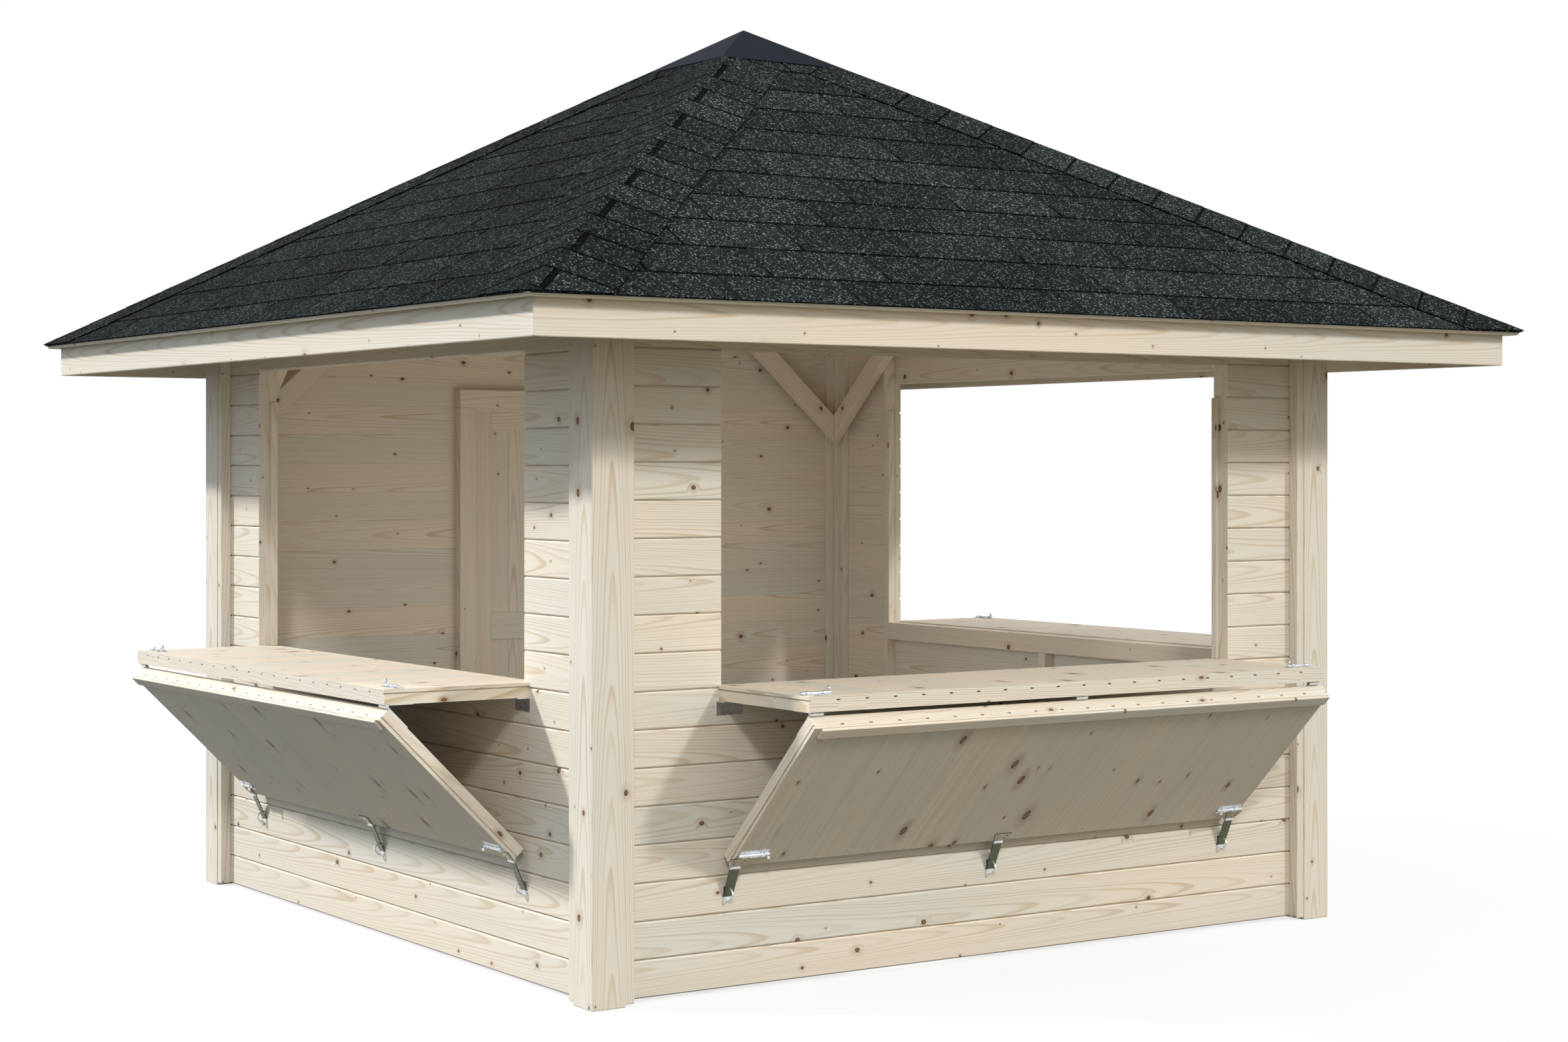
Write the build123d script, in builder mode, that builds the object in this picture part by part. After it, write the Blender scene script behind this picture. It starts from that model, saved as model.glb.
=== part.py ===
from build123d import *
import os
from math import atan, cos, radians, sin, tan

# Wooden market stall: a square hut on four corner posts, with boarded walls, a serving hatch in
# three of them, a door in the fourth and a shingled pyramid roof.
# Frame: origin at the centre of the plan on the ground, X to the right along the front wall,
# Y towards the back wall, Z up. Lengths in millimetres, angles in degrees.

# Plan and posts
span = 3000                     # over the outer faces of the corner posts
post_size = 115
ground_gap = 8                  # boards and battens stop short of the ground

# Boarded walls
board_thick = 28
batten_width = 32               # battens that hold the board ends beside each post
outer_batten_thick = 40         # nearly flush with the posts
inner_batten_thick = 24

# Serving openings
opening_width = 2084
front_opening_shift = 18        # front opening to the right of the middle of its wall
side_opening_shift = 40         # side openings to the left of the middle of their walls
opening_low = 929
opening_drop = 246              # top of the openings below the top beams

# Frame on the inner face of the walls
beam_depth = 162                # of the top beams, at the wall boards
stud_width = 28                 # studs beside the serving openings
mid_stud_width = 45             # stud under the middle of each opening
stop_width = 27                 # strips on the studs, against which the hatches close
stop_thick = 11
stop_drop = 115                 # upper ends of the strips below the top of the openings
sill_height = 72
brace_drop = 87                 # level cut at the braces' upper ends below the roof boards
brace_height = 615
brace_width = 75
brace_thick = 45
brace_angle = 42

# Roof
roof_pitch = 30
eave_reach = 459                # roof boards' lower edge beyond the posts
eave_height = 2056
roof_board_thick = 17
shingle_thick = 5
shingle_lip = 6                 # shingles beyond the edge of the roof boards
fascia_reach = 425              # fascia's outer face beyond the posts
fascia_thick = 20
fascia_drop = 103               # fascia's lower edge below the roof boards' lower edge
cap_width = 500                 # metal cap over the peak, in plan
cap_thick = 3
hip_strip_width = 212           # on each slope
rafter_width = 45
rafter_depth = 95
king_block_size = 90
king_block_length = 140

# Hatches: a counter board hinged at the sill and a flap hinged to its outer edge
hatch_width = 2066              # of counter boards and flaps
counter_reach = 445             # counter's outer edge beyond the posts
counter_top = 933
counter_thick = 46
flap_thick = 46
flap_length = 643
flap_wall_gap = 13              # flap's lower inner edge off the wall, which sets its slope
flap_drop = 13                  # flap's upper inner edge below the counter
flap_inset = 20                 # flap's upper inner edge inside the counter's outer edge
flap_shift = 11                 # flaps hang this far off the middle of the wall
cover_strip_width = 40
cover_strip_thick = 10
cover_strip_inset = 25          # strip's one end from the end of the flap

# Hatch hardware
knuckle_radius = 6
knuckle_length = 46
leaf_thick = 3
leaf_length = 86
hinge_end_inset = 34            # hinge centres from the hatch ends
sill_leaf_width = 95
sill_leaf_length = 44
sill_leaf_inset = 38            # its centre from the hatch ends
hasp_width = 35
hasp_thick = 3
hasp_grip = 32                  # length screwed to the flap
hasp_knuckle_radius = 5
hasp_end_inset = 20
hasp_drop = 93                  # lower end of the strap on the wall, below the knuckle
bolt_plate_length = 100
bolt_plate_width = 36
bolt_plate_thick = 2
bolt_rod_radius = 5
bolt_rod_length = 110
bolt_end_inset = 60             # bolt centres from the hatch ends
bolt_edge_inset = 54            # bolt centres from the free edge of counter or flap

# Door in the back wall
frame_outer_width = 930
frame_drop = 291                # top of the door frame below the top beams
frame_face = 72                 # width of the frame members seen from inside
frame_outer_reach = 15          # frame's outer face behind the posts' outer face
door_gap = 5                    # all round the leaf
door_low = 20
door_thick = 40
stile_width = 95
top_rail_height = 82
mid_rail_low = 892
mid_rail_height = 111
bottom_rail_height = 150
panel_thick = 18

# Door hardware
pin_radius = 6
pin_clearance = 0.05
eye_wall = 4
eye_height = 40
eye_face_gap = 1                # eye to the face of the frame
strap_length = 360
strap_thick = 4
strap_tip_share = 0.5           # strap's height at its tip, as a share of the eye's
strap_low_level = 330
strap_drop = 272                # upper strap's lower edge below the top of the leaf
pintle_plate_width = 46
pintle_plate_height = 70
pintle_plate_thick = 6
pintle_arm_height = 12
pull_length = 160
pull_radius = 8
pull_foot_radius = 6
pull_stand = 45
pull_level = 1050

overrun = 20                    # cutters pass through faces by this much

# Values worked out from the sizes above
half = span / 2
post_inner = half - post_size
board_outer = half - (post_size - board_thick) / 2
board_inner = board_outer - board_thick
eave_half = half + eave_reach
fascia_half = half + fascia_reach
counter_half = half + counter_reach
counter_low = counter_top - counter_thick
opening_half = opening_width / 2
hatch_half = hatch_width / 2
slope_cos = cos(radians(roof_pitch))
slope_sin = sin(radians(roof_pitch))
FRONT, RIGHT, BACK, LEFT = 0, 90, 180, 270
SIDES = {"front": FRONT, "right": RIGHT, "back": BACK, "left": LEFT}
HATCH_SIDES = {"front": FRONT, "right": RIGHT, "left": LEFT}
opening_offsets = {FRONT: front_opening_shift, RIGHT: -side_opening_shift, LEFT: -side_opening_shift}
flap_offsets = {FRONT: flap_shift, RIGHT: flap_shift, LEFT: -flap_shift}
UP = Vector(0, 0, 1)

os.makedirs("parts", exist_ok=True)


def save(piece, label):
    """Label a finished piece and write it under its own name."""
    piece.part.label = label
    export_step(piece.part, f"parts/{label}.step")


def outward(turn):
    """Direction out of the wall that stands a turn about Z from the front."""
    return Vector(sin(radians(turn)), -cos(radians(turn)), 0)


def along(turn):
    """Direction along that wall, to the right for someone who faces it from outside."""
    return Vector(cos(radians(turn)), sin(radians(turn)), 0)


def face_plane(turn, distance):
    """Upright plane parallel to a wall: X along the wall, Y up, normal outwards."""
    return Plane(origin=outward(turn) * distance, x_dir=along(turn), z_dir=outward(turn))


def section_plane(turn, place):
    """Upright plane across a wall: X is the distance from the centre, Y up, normal along -wall."""
    return Plane(origin=along(turn) * place, x_dir=outward(turn), z_dir=along(turn) * -1)


def roof_height(distance):
    """Height of the roof boards' underside at a distance from the centre line."""
    return eave_height + (eave_half - distance) * tan(radians(roof_pitch))


def roof_plane(turn):
    """Underside of the roof boards over one wall, with the normal upwards."""
    normal = outward(turn) * slope_sin + UP * slope_cos
    return Plane(origin=outward(turn) * eave_half + UP * eave_height, x_dir=along(turn), z_dir=normal)


def roof_point(rise, lift):
    """Distance and height of a point a rise up the slope from the eave and a lift above the underside."""
    distance = eave_half - rise * slope_cos + lift * slope_sin
    height = eave_height + rise * slope_sin + lift * slope_cos
    return (distance, height)


def keep_quarter(turn):
    """Trim the part in hand to the quarter of the plan in front of one wall, mitred at the diagonals."""
    for side in (-1, 1):
        split(bisect_by=Plane(origin=(0, 0, 0), z_dir=outward(turn) + along(turn) * side), keep=Keep.TOP)


def fill_section(turn, points, start, end):
    """Carry an outline of distances and heights along a wall, from one place to another."""
    with BuildSketch(section_plane(turn, start)) as section:
        with BuildLine():
            Polyline(*points, close=True)
        make_face()
    extrude(section.sketch, amount=start - end)


def under_roof_outline(inner, outer, low):
    """Outline of an upright slab whose top is cut to the slope of the roof."""
    return [(inner, low), (outer, low), (outer, roof_height(outer)), (inner, roof_height(inner))]


def level_outline(inner, outer, low, high):
    """Outline of a plain upright slab."""
    return [(inner, low), (outer, low), (outer, high), (inner, high)]


# Levels that hang from the roof
beam_low = roof_height(board_inner) - beam_depth
opening_top = beam_low - opening_drop
frame_top = beam_low - frame_drop
brace_head = roof_height(post_inner) - brace_drop
brace_foot = brace_head - brace_height
fascia_low = eave_height - fascia_drop

# Corner posts, with their heads cut to the two slopes above them
corners = {
    "front_left": (-1, -1, (FRONT, LEFT)),
    "front_right": (1, -1, (FRONT, RIGHT)),
    "back_left": (-1, 1, (BACK, LEFT)),
    "back_right": (1, 1, (BACK, RIGHT)),
}
post_centre = half - post_size / 2
for corner, (x_sign, y_sign, turns) in corners.items():
    with BuildPart() as corner_post:
        with BuildSketch(Plane.XY):
            with Locations((x_sign * post_centre, y_sign * post_centre)):
                Rectangle(post_size, post_size)
        extrude(amount=roof_height(post_inner))
        for turn in turns:
            split(bisect_by=roof_plane(turn), keep=Keep.BOTTOM)
    save(corner_post, f"{corner}_post")

# Boarded walls with a serving opening, from post to post and up to the roof boards
for side, turn in HATCH_SIDES.items():
    with BuildPart() as hatch_wall:
        fill_section(turn, under_roof_outline(board_inner, board_outer, ground_gap), -post_inner, post_inner)
        with BuildSketch(face_plane(turn, board_outer + overrun)):
            with Locations((opening_offsets[turn], (opening_low + opening_top) / 2)):
                Rectangle(opening_width, opening_top - opening_low)
        extrude(amount=-(board_thick + 2 * overrun), mode=Mode.SUBTRACT)
    save(hatch_wall, f"{side}_wall")

# Back wall in three slabs: beside the doorway on each hand and over it
frame_half = frame_outer_width / 2
back_slabs = {
    "back_wall_left": (frame_half, post_inner, ground_gap),
    "back_wall_right": (-post_inner, -frame_half, ground_gap),
    "back_wall_over_door": (-frame_half, frame_half, frame_top),
}
for label, (start, end, low) in back_slabs.items():
    with BuildPart() as back_slab:
        fill_section(BACK, under_roof_outline(board_inner, board_outer, low), start, end)
    save(back_slab, label)

# Battens beside the posts, outside and inside the board ends
batten_starts = (-post_inner, post_inner - batten_width)
with BuildPart() as outer_battens:
    for turn in SIDES.values():
        for start in batten_starts:
            outline = under_roof_outline(board_outer, board_outer + outer_batten_thick, ground_gap)
            fill_section(turn, outline, start, start + batten_width)
save(outer_battens, "outer_battens")

with BuildPart() as inner_battens:
    for turn in SIDES.values():
        for start in batten_starts:
            outline = level_outline(board_inner - inner_batten_thick, board_inner, ground_gap, beam_low)
            fill_section(turn, outline, start, start + batten_width)
save(inner_battens, "inner_battens")

# Top beams inside the walls, from post to post under the roof boards
wall_pairs = {"cross": (FRONT, BACK), "side": (LEFT, RIGHT)}
for pair, turns in wall_pairs.items():
    with BuildPart() as beams:
        for turn in turns:
            fill_section(turn, under_roof_outline(post_inner, board_inner, beam_low), -post_inner, post_inner)
    save(beams, f"{pair}_beams")

# Studs beside the openings, strips on them that stop the hatches, sill rails under the openings and a
# stud below the middle of each rail
with BuildPart() as jamb_studs:
    for turn, offset in opening_offsets.items():
        for start in (offset + opening_half, offset - opening_half - stud_width):
            outline = level_outline(post_inner, board_inner, ground_gap, beam_low)
            fill_section(turn, outline, start, start + stud_width)
save(jamb_studs, "jamb_studs")

with BuildPart() as hatch_stops:
    for turn, offset in opening_offsets.items():
        for start in (offset + opening_half - stop_thick, offset - opening_half):
            outline = level_outline(post_inner, post_inner + stop_width, opening_low, opening_top - stop_drop)
            fill_section(turn, outline, start, start + stop_thick)
save(hatch_stops, "hatch_stops")

sill_low = opening_low - sill_height
with BuildPart() as sill_rails:
    for turn, offset in opening_offsets.items():
        outline = level_outline(post_inner, board_inner, sill_low, opening_low)
        fill_section(turn, outline, offset - opening_half, offset + opening_half)
save(sill_rails, "sill_rails")

with BuildPart() as mid_studs:
    for turn, offset in opening_offsets.items():
        outline = level_outline(post_inner, board_inner, ground_gap, sill_low)
        fill_section(turn, outline, offset - mid_stud_width / 2, offset + mid_stud_width / 2)
save(mid_studs, "mid_studs")

# Corner braces on the inner faces of posts, studs and beams, mitred against each other in the corners
brace_rise = brace_width / cos(radians(brace_angle))
brace_run = (brace_head - brace_foot) / tan(radians(brace_angle))
brace_top_run = (brace_head - brace_foot - brace_rise) / tan(radians(brace_angle))
for side, turn in SIDES.items():
    with BuildPart() as wall_braces:
        with BuildSketch(face_plane(turn, post_inner)):
            for hand in (-1, 1):
                with BuildLine():
                    Polyline(
                        (hand * post_inner, brace_foot),
                        (hand * post_inner, brace_foot + brace_rise),
                        (hand * (post_inner - brace_top_run), brace_head),
                        (hand * (post_inner - brace_run), brace_head),
                        close=True,
                    )
                make_face()
        extrude(amount=-brace_thick)
        keep_quarter(turn)
    save(wall_braces, f"{side}_braces")


def slope_layer(turn, lift, thickness, start):
    """One quarter of a layer parallel to the roof boards, from a start up the slope to the peak."""
    with BuildPart() as layer:
        peak_low = roof_height(0) + lift / slope_cos
        peak_high = roof_height(0) + (lift + thickness) / slope_cos
        outline = [roof_point(start, lift), roof_point(start, lift + thickness), (0, peak_high), (0, peak_low)]
        reach = roof_point(start, lift + thickness)[0]
        fill_section(turn, outline, -reach, reach)
        keep_quarter(turn)
    return layer


# Roof boards, a quarter over each wall, mitred along the hips
for side, turn in SIDES.items():
    save(slope_layer(turn, 0, roof_board_thick, 0), f"{side}_roof_boards")

# Shingles, one covering wrapped over the hips
shingle_lift = roof_board_thick
strip_lift = shingle_lift + shingle_thick
shingle_quarters = [slope_layer(turn, shingle_lift, shingle_thick, -shingle_lip) for turn in SIDES.values()]
with BuildPart() as roof_shingles:
    for quarter in shingle_quarters:
        add(quarter.part)
save(roof_shingles, "roof_shingles")


def fascia_board(turn):
    """Board hung under the roof boards' edge along one eave, mitred at its ends."""
    with BuildPart() as fascia:
        outline = under_roof_outline(fascia_half - fascia_thick, fascia_half, fascia_low)
        fill_section(turn, outline, -fascia_half, fascia_half)
        keep_quarter(turn)
    return fascia


for pair, turns in wall_pairs.items():
    boards = [fascia_board(turn) for turn in turns]
    with BuildPart() as fascias:
        for board in boards:
            add(board.part)
    save(fascias, f"{pair}_fascias")

# Metal cap folded over the peak
cap_start = (eave_half - cap_width / 2) / slope_cos
cap_quarters = [slope_layer(turn, strip_lift, cap_thick, cap_start) for turn in SIDES.values()]
with BuildPart() as metal_cap:
    for quarter in cap_quarters:
        add(quarter.part)
save(metal_cap, "metal_cap")


def hip_strip_half(turn, hand):
    """Shingle strip on one slope beside a hip: a parallelogram between the eave and the cap."""
    hip_angle = atan(slope_cos)
    strip_across = hip_strip_width / cos(hip_angle)
    strip_top = strip_lift + shingle_thick
    plane = roof_plane(turn).offset(strip_lift)
    low_half = roof_point(-shingle_lip, strip_top)[0]
    high_half = roof_point(cap_start, strip_top)[0]
    with BuildPart() as half_strip:
        with BuildSketch(plane):
            with BuildLine():
                Polyline(
                    (hand * low_half, -shingle_lip),
                    (hand * (low_half - strip_across), -shingle_lip),
                    (hand * (high_half - strip_across), cap_start),
                    (hand * high_half, cap_start),
                    close=True,
                )
            make_face()
        extrude(amount=shingle_thick)
        keep_quarter(turn)
    return half_strip


hip_halves = [hip_strip_half(turn, hand) for turn in SIDES.values() for hand in (-1, 1)]
with BuildPart() as hip_strips:
    for half_strip in hip_halves:
        add(half_strip.part)
save(hip_strips, "hip_strips")

# Hip rafters between the king block and the inner corners of the posts, bevelled to both slopes
diagonal = 2 ** 0.5
rafter_start = king_block_size / 2
rafter_end = post_inner * diagonal


def hip_rafter(x_sign, y_sign, turns):
    """Rafter on edge along one diagonal of the plan."""
    heading = Vector(x_sign, y_sign, 0).normalized()
    upright = Plane(origin=(0, 0, 0), x_dir=heading, z_dir=heading.cross(UP))
    start_height = roof_height(rafter_start / diagonal)
    end_height = roof_height(rafter_end / diagonal)
    with BuildPart() as rafter:
        with BuildSketch(upright):
            with BuildLine():
                Polyline(
                    (rafter_start, start_height),
                    (rafter_end, end_height),
                    (rafter_end, end_height - rafter_depth),
                    (rafter_start, start_height - rafter_depth),
                    close=True,
                )
            make_face()
        extrude(amount=rafter_width / 2, both=True)
        for turn in turns:
            split(bisect_by=roof_plane(turn), keep=Keep.BOTTOM)
            split(bisect_by=face_plane(turn, post_inner), keep=Keep.BOTTOM)
    return rafter


rafters = [hip_rafter(*corner) for corner in corners.values()]
with BuildPart() as hip_rafters:
    for rafter in rafters:
        add(rafter.part)
save(hip_rafters, "hip_rafters")

with BuildPart() as king_block:
    with BuildSketch(Plane.XY.offset(roof_height(0) - king_block_length)):
        Rectangle(king_block_size, king_block_size, rotation=45)
    extrude(amount=king_block_length)
    for turn in SIDES.values():
        split(bisect_by=roof_plane(turn), keep=Keep.BOTTOM)
save(king_block, "king_block")

# Flap geometry in the section across a wall: the slope runs down and inwards from the counter's edge
flap_top_distance = counter_half - flap_inset
flap_top_height = counter_low - flap_drop
flap_cos = (flap_top_distance - board_outer - flap_wall_gap) / flap_length
flap_sin = (1 - flap_cos ** 2) ** 0.5


def flap_point(down, out):
    """Distance and height of a point down the flap's inner face from its upper edge, and out from it."""
    distance = flap_top_distance - down * flap_cos + out * flap_sin
    height = flap_top_height - down * flap_sin - out * flap_cos
    return (distance, height)


def flap_outline(down_start, down_end, out_start, out_end):
    """Outline of a slab that lies along the flap."""
    return [
        flap_point(down_start, out_start),
        flap_point(down_end, out_start),
        flap_point(down_end, out_end),
        flap_point(down_start, out_end),
    ]


# Counters, and flaps hanging from their outer edges
for side, turn in HATCH_SIDES.items():
    with BuildPart() as counter:
        fill_section(turn, level_outline(board_outer, counter_half, counter_low, counter_top), -hatch_half, hatch_half)
    save(counter, f"{side}_counter")
    with BuildPart() as flap:
        flap_start = flap_offsets[turn] - hatch_half
        fill_section(turn, flap_outline(0, flap_length, 0, flap_thick), flap_start, flap_start + hatch_width)
    save(flap, f"{side}_flap")

# Strips along the upper edge of the flaps, flush with the end that hangs out past the counter
with BuildPart() as cover_strips:
    for turn, offset in flap_offsets.items():
        outline = flap_outline(0, cover_strip_width, flap_thick, flap_thick + cover_strip_thick)
        hand = 1 if offset > 0 else -1
        inset_end = offset - hand * (hatch_half - cover_strip_inset)
        flush_end = offset + hand * hatch_half
        fill_section(turn, outline, min(inset_end, flush_end), max(inset_end, flush_end))
save(cover_strips, "cover_strips")

# Butt hinges between counter and flap: a knuckle, a leaf under the counter and a leaf on the flap
knuckle_height = counter_low - knuckle_radius
knuckle_distance = flap_top_distance + knuckle_radius
hinge_places = (-hatch_half + hinge_end_inset, 0, hatch_half - hinge_end_inset)
with BuildPart() as hatch_hinges:
    for turn in HATCH_SIDES.values():
        for place in hinge_places:
            start = place - knuckle_length / 2
            end = place + knuckle_length / 2
            with BuildSketch(section_plane(turn, start)):
                with Locations((knuckle_distance, knuckle_height)):
                    Circle(knuckle_radius)
            extrude(amount=-knuckle_length)
            leaf_end = knuckle_distance - leaf_length
            fill_section(
                turn, level_outline(leaf_end, knuckle_distance, counter_low - leaf_thick, counter_low), start, end
            )
            fill_section(turn, flap_outline(-flap_drop, leaf_length, -leaf_thick, 0), start, end)
save(hatch_hinges, "hatch_hinges")

# Angle hinges between the wall and the counter
with BuildPart() as counter_hinges:
    for turn in HATCH_SIDES.values():
        for place in (-hatch_half + sill_leaf_inset, hatch_half - sill_leaf_inset):
            start = place - sill_leaf_width / 2
            outline = [
                (board_outer, counter_low),
                (board_outer + sill_leaf_length, counter_low),
                (board_outer + sill_leaf_length, counter_low - leaf_thick),
                (board_outer + leaf_thick, counter_low - leaf_thick),
                (board_outer + leaf_thick, counter_low - sill_leaf_length),
                (board_outer, counter_low - sill_leaf_length),
            ]
            fill_section(turn, outline, start, start + sill_leaf_width)
save(counter_hinges, "counter_hinges")

# Hasps: a plate on the flap's lower edge, a knuckle and a strap that hangs against the wall
hasp_places = (-hatch_half + hasp_end_inset, 0, hatch_half - hasp_end_inset)
hasp_mid = flap_thick + hasp_thick / 2
hasp_knuckle = flap_point(flap_length + hasp_knuckle_radius, hasp_mid)
with BuildPart() as hatch_hasps:
    for turn, offset in flap_offsets.items():
        for place in hasp_places:
            with BuildSketch(section_plane(turn, offset + place + hasp_width / 2)):
                with BuildLine():
                    Polyline(
                        flap_point(flap_length - hasp_grip, hasp_mid),
                        hasp_knuckle,
                        (board_outer + hasp_thick / 2, hasp_knuckle[1] - hasp_drop),
                    )
                trace(line_width=hasp_thick)
                with Locations(hasp_knuckle):
                    Circle(hasp_knuckle_radius)
            extrude(amount=hasp_width)
save(hatch_hasps, "hatch_hasps")


def bolt_planes(turn):
    """Planes of the four barrel bolts of a hatch: two on the counter's top, two low on the flap."""
    flap_normal = outward(turn) * flap_sin - UP * flap_cos
    flap_distance, flap_height = flap_point(flap_length - bolt_edge_inset, flap_thick)
    flap_origin = outward(turn) * flap_distance + UP * flap_height
    counter_origin = outward(turn) * (counter_half - bolt_edge_inset) + UP * counter_top
    planes = []
    for hand in (-1, 1):
        place = along(turn) * hand * (hatch_half - bolt_end_inset)
        planes.append(Plane(origin=counter_origin + place, x_dir=along(turn), z_dir=UP))
        flap_place = place + along(turn) * flap_offsets[turn]
        planes.append(Plane(origin=flap_origin + flap_place, x_dir=along(turn), z_dir=flap_normal))
    return planes


with BuildPart() as hatch_bolts:
    for turn in HATCH_SIDES.values():
        for plane in bolt_planes(turn):
            with BuildSketch(plane):
                Rectangle(bolt_plate_length, bolt_plate_width)
            extrude(amount=bolt_plate_thick)
            rod_plane = Plane(
                origin=plane.origin + plane.z_dir * bolt_rod_radius - plane.x_dir * bolt_rod_length / 2,
                x_dir=plane.y_dir,
                z_dir=plane.x_dir,
            )
            with BuildSketch(rod_plane):
                Circle(bolt_rod_radius)
            extrude(amount=bolt_rod_length)
save(hatch_bolts, "hatch_bolts")

# Door frame in the back wall, from the inner face of the posts out past the boards
frame_outer = half - frame_outer_reach
head_low = frame_top - frame_face
jamb_inner = frame_half - frame_face
with BuildPart() as door_jambs:
    for start in (-frame_half, jamb_inner):
        fill_section(BACK, level_outline(post_inner, frame_outer, ground_gap, head_low), start, start + frame_face)
save(door_jambs, "door_jambs")

with BuildPart() as door_head:
    fill_section(BACK, level_outline(post_inner, frame_outer, head_low, frame_top), -frame_half, frame_half)
save(door_head, "door_head")

# Door leaf: two stiles, three rails and two boarded panels, flush with the frame's outer face
leaf_half = jamb_inner - door_gap
leaf_top = head_low - door_gap
leaf_inner = frame_outer - door_thick
stile_inner = leaf_half - stile_width
with BuildPart() as door_stiles:
    for start in (-leaf_half, stile_inner):
        fill_section(BACK, level_outline(leaf_inner, frame_outer, door_low, leaf_top), start, start + stile_width)
save(door_stiles, "door_stiles")

rail_spans = (
    (door_low, door_low + bottom_rail_height),
    (mid_rail_low, mid_rail_low + mid_rail_height),
    (leaf_top - top_rail_height, leaf_top),
)
with BuildPart() as door_rails:
    for low, high in rail_spans:
        fill_section(BACK, level_outline(leaf_inner, frame_outer, low, high), -stile_inner, stile_inner)
save(door_rails, "door_rails")

panel_inner = leaf_inner + (door_thick - panel_thick) / 2
with BuildPart() as door_panels:
    for below, above in zip(rail_spans, rail_spans[1:]):
        outline = level_outline(panel_inner, panel_inner + panel_thick, below[1], above[0])
        fill_section(BACK, outline, -stile_inner, stile_inner)
save(door_panels, "door_panels")

# Strap hinges on the leaf, with eyes that turn on pintles fixed to the frame
eye_radius = pin_radius + pin_clearance + eye_wall
pin_distance = frame_outer + eye_face_gap + eye_radius
pin_place = leaf_half + door_gap / 2
strap_levels = (strap_low_level, leaf_top - strap_drop)
pin_centre = along(BACK) * pin_place + outward(BACK) * pin_distance
with BuildPart() as door_straps:
    for level in strap_levels:
        with BuildSketch(Plane(origin=pin_centre + UP * level)):
            Circle(eye_radius)
        extrude(amount=eye_height)
        with BuildSketch(face_plane(BACK, frame_outer)):
            with BuildLine():
                Polyline(
                    (leaf_half, level),
                    (leaf_half, level + eye_height),
                    (leaf_half - strap_length, level + eye_height / 2 + eye_height * strap_tip_share / 2),
                    (leaf_half - strap_length, level + eye_height / 2 - eye_height * strap_tip_share / 2),
                    close=True,
                )
            make_face()
        extrude(amount=strap_thick)
        with BuildSketch(Plane(origin=pin_centre + UP * (level - overrun))):
            Circle(pin_radius + pin_clearance)
        extrude(amount=eye_height + 2 * overrun, mode=Mode.SUBTRACT)
save(door_straps, "door_straps")

plate_start = pin_place + eye_radius + eye_face_gap
with BuildPart() as door_pintles:
    for level in strap_levels:
        arm_low = level - eye_face_gap - pintle_arm_height
        plate_mid = arm_low + pintle_arm_height / 2
        plate_outline = level_outline(
            frame_outer,
            frame_outer + pintle_plate_thick,
            plate_mid - pintle_plate_height / 2,
            plate_mid + pintle_plate_height / 2,
        )
        fill_section(BACK, plate_outline, plate_start, plate_start + pintle_plate_width)
        arm_outline = level_outline(
            pin_distance - pin_radius, pin_distance + pin_radius, arm_low, arm_low + pintle_arm_height
        )
        fill_section(BACK, arm_outline, pin_place - pin_radius, plate_start + pintle_plate_width / 2)
        with BuildSketch(Plane(origin=pin_centre + UP * arm_low)):
            Circle(pin_radius)
        extrude(amount=pintle_arm_height + eye_face_gap + eye_height)
save(door_pintles, "door_pintles")

# Pull handle on the outside of the free stile
pull_place = -leaf_half + stile_width / 2
pull_distance = frame_outer + pull_stand
pull_low = pull_level - pull_length / 2
with BuildPart() as door_pull:
    for height in (pull_low, pull_low + pull_length):
        with BuildSketch(face_plane(BACK, frame_outer)):
            with Locations((pull_place, height)):
                Circle(pull_foot_radius)
        extrude(amount=pull_stand)
    grip_low = pull_low - 2 * pull_radius
    grip_base = along(BACK) * pull_place + outward(BACK) * pull_distance + UP * grip_low
    with BuildSketch(Plane(origin=grip_base)):
        Circle(pull_radius)
    extrude(amount=pull_length + 4 * pull_radius)
save(door_pull, "door_pull")
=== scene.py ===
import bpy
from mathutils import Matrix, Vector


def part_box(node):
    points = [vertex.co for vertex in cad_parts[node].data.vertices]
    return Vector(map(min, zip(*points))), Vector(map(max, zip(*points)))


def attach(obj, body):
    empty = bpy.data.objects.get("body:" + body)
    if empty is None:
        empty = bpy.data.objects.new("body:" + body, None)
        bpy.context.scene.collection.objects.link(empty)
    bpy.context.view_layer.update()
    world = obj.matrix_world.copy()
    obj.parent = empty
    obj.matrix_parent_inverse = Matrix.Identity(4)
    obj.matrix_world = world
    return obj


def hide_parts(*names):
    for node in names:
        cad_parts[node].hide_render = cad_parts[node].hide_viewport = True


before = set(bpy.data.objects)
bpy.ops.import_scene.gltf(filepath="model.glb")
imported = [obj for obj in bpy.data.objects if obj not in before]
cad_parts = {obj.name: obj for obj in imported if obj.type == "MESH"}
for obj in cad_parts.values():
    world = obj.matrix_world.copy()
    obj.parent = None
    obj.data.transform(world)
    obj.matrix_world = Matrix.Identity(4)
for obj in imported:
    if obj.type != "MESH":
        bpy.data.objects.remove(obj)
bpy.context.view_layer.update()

from functools import partial
from itertools import product

import bmesh
import bpy
import numpy as np
from bpy.props import FloatProperty, FloatVectorProperty, PointerProperty
from mathutils import Vector

bl_info = {
    "name": "Wooden market stall",
    "version": (1, 0, 0),
    "blender": (4, 5, 0),
    "location": "View3D > Sidebar > Stall",
    "description": "Dresses the frame of a wooden market stall with boards, shingles and fittings",
    "category": "Object",
}

# Metres and degrees. A wall is named by its turn about Z from the front wall.
SIDES = {"front": 0, "right": 90, "back": 180, "left": 270}
HATCH_SIDES = ("front", "right", "left")
UP = np.array([0.0, 0.0, 1.0])


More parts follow.
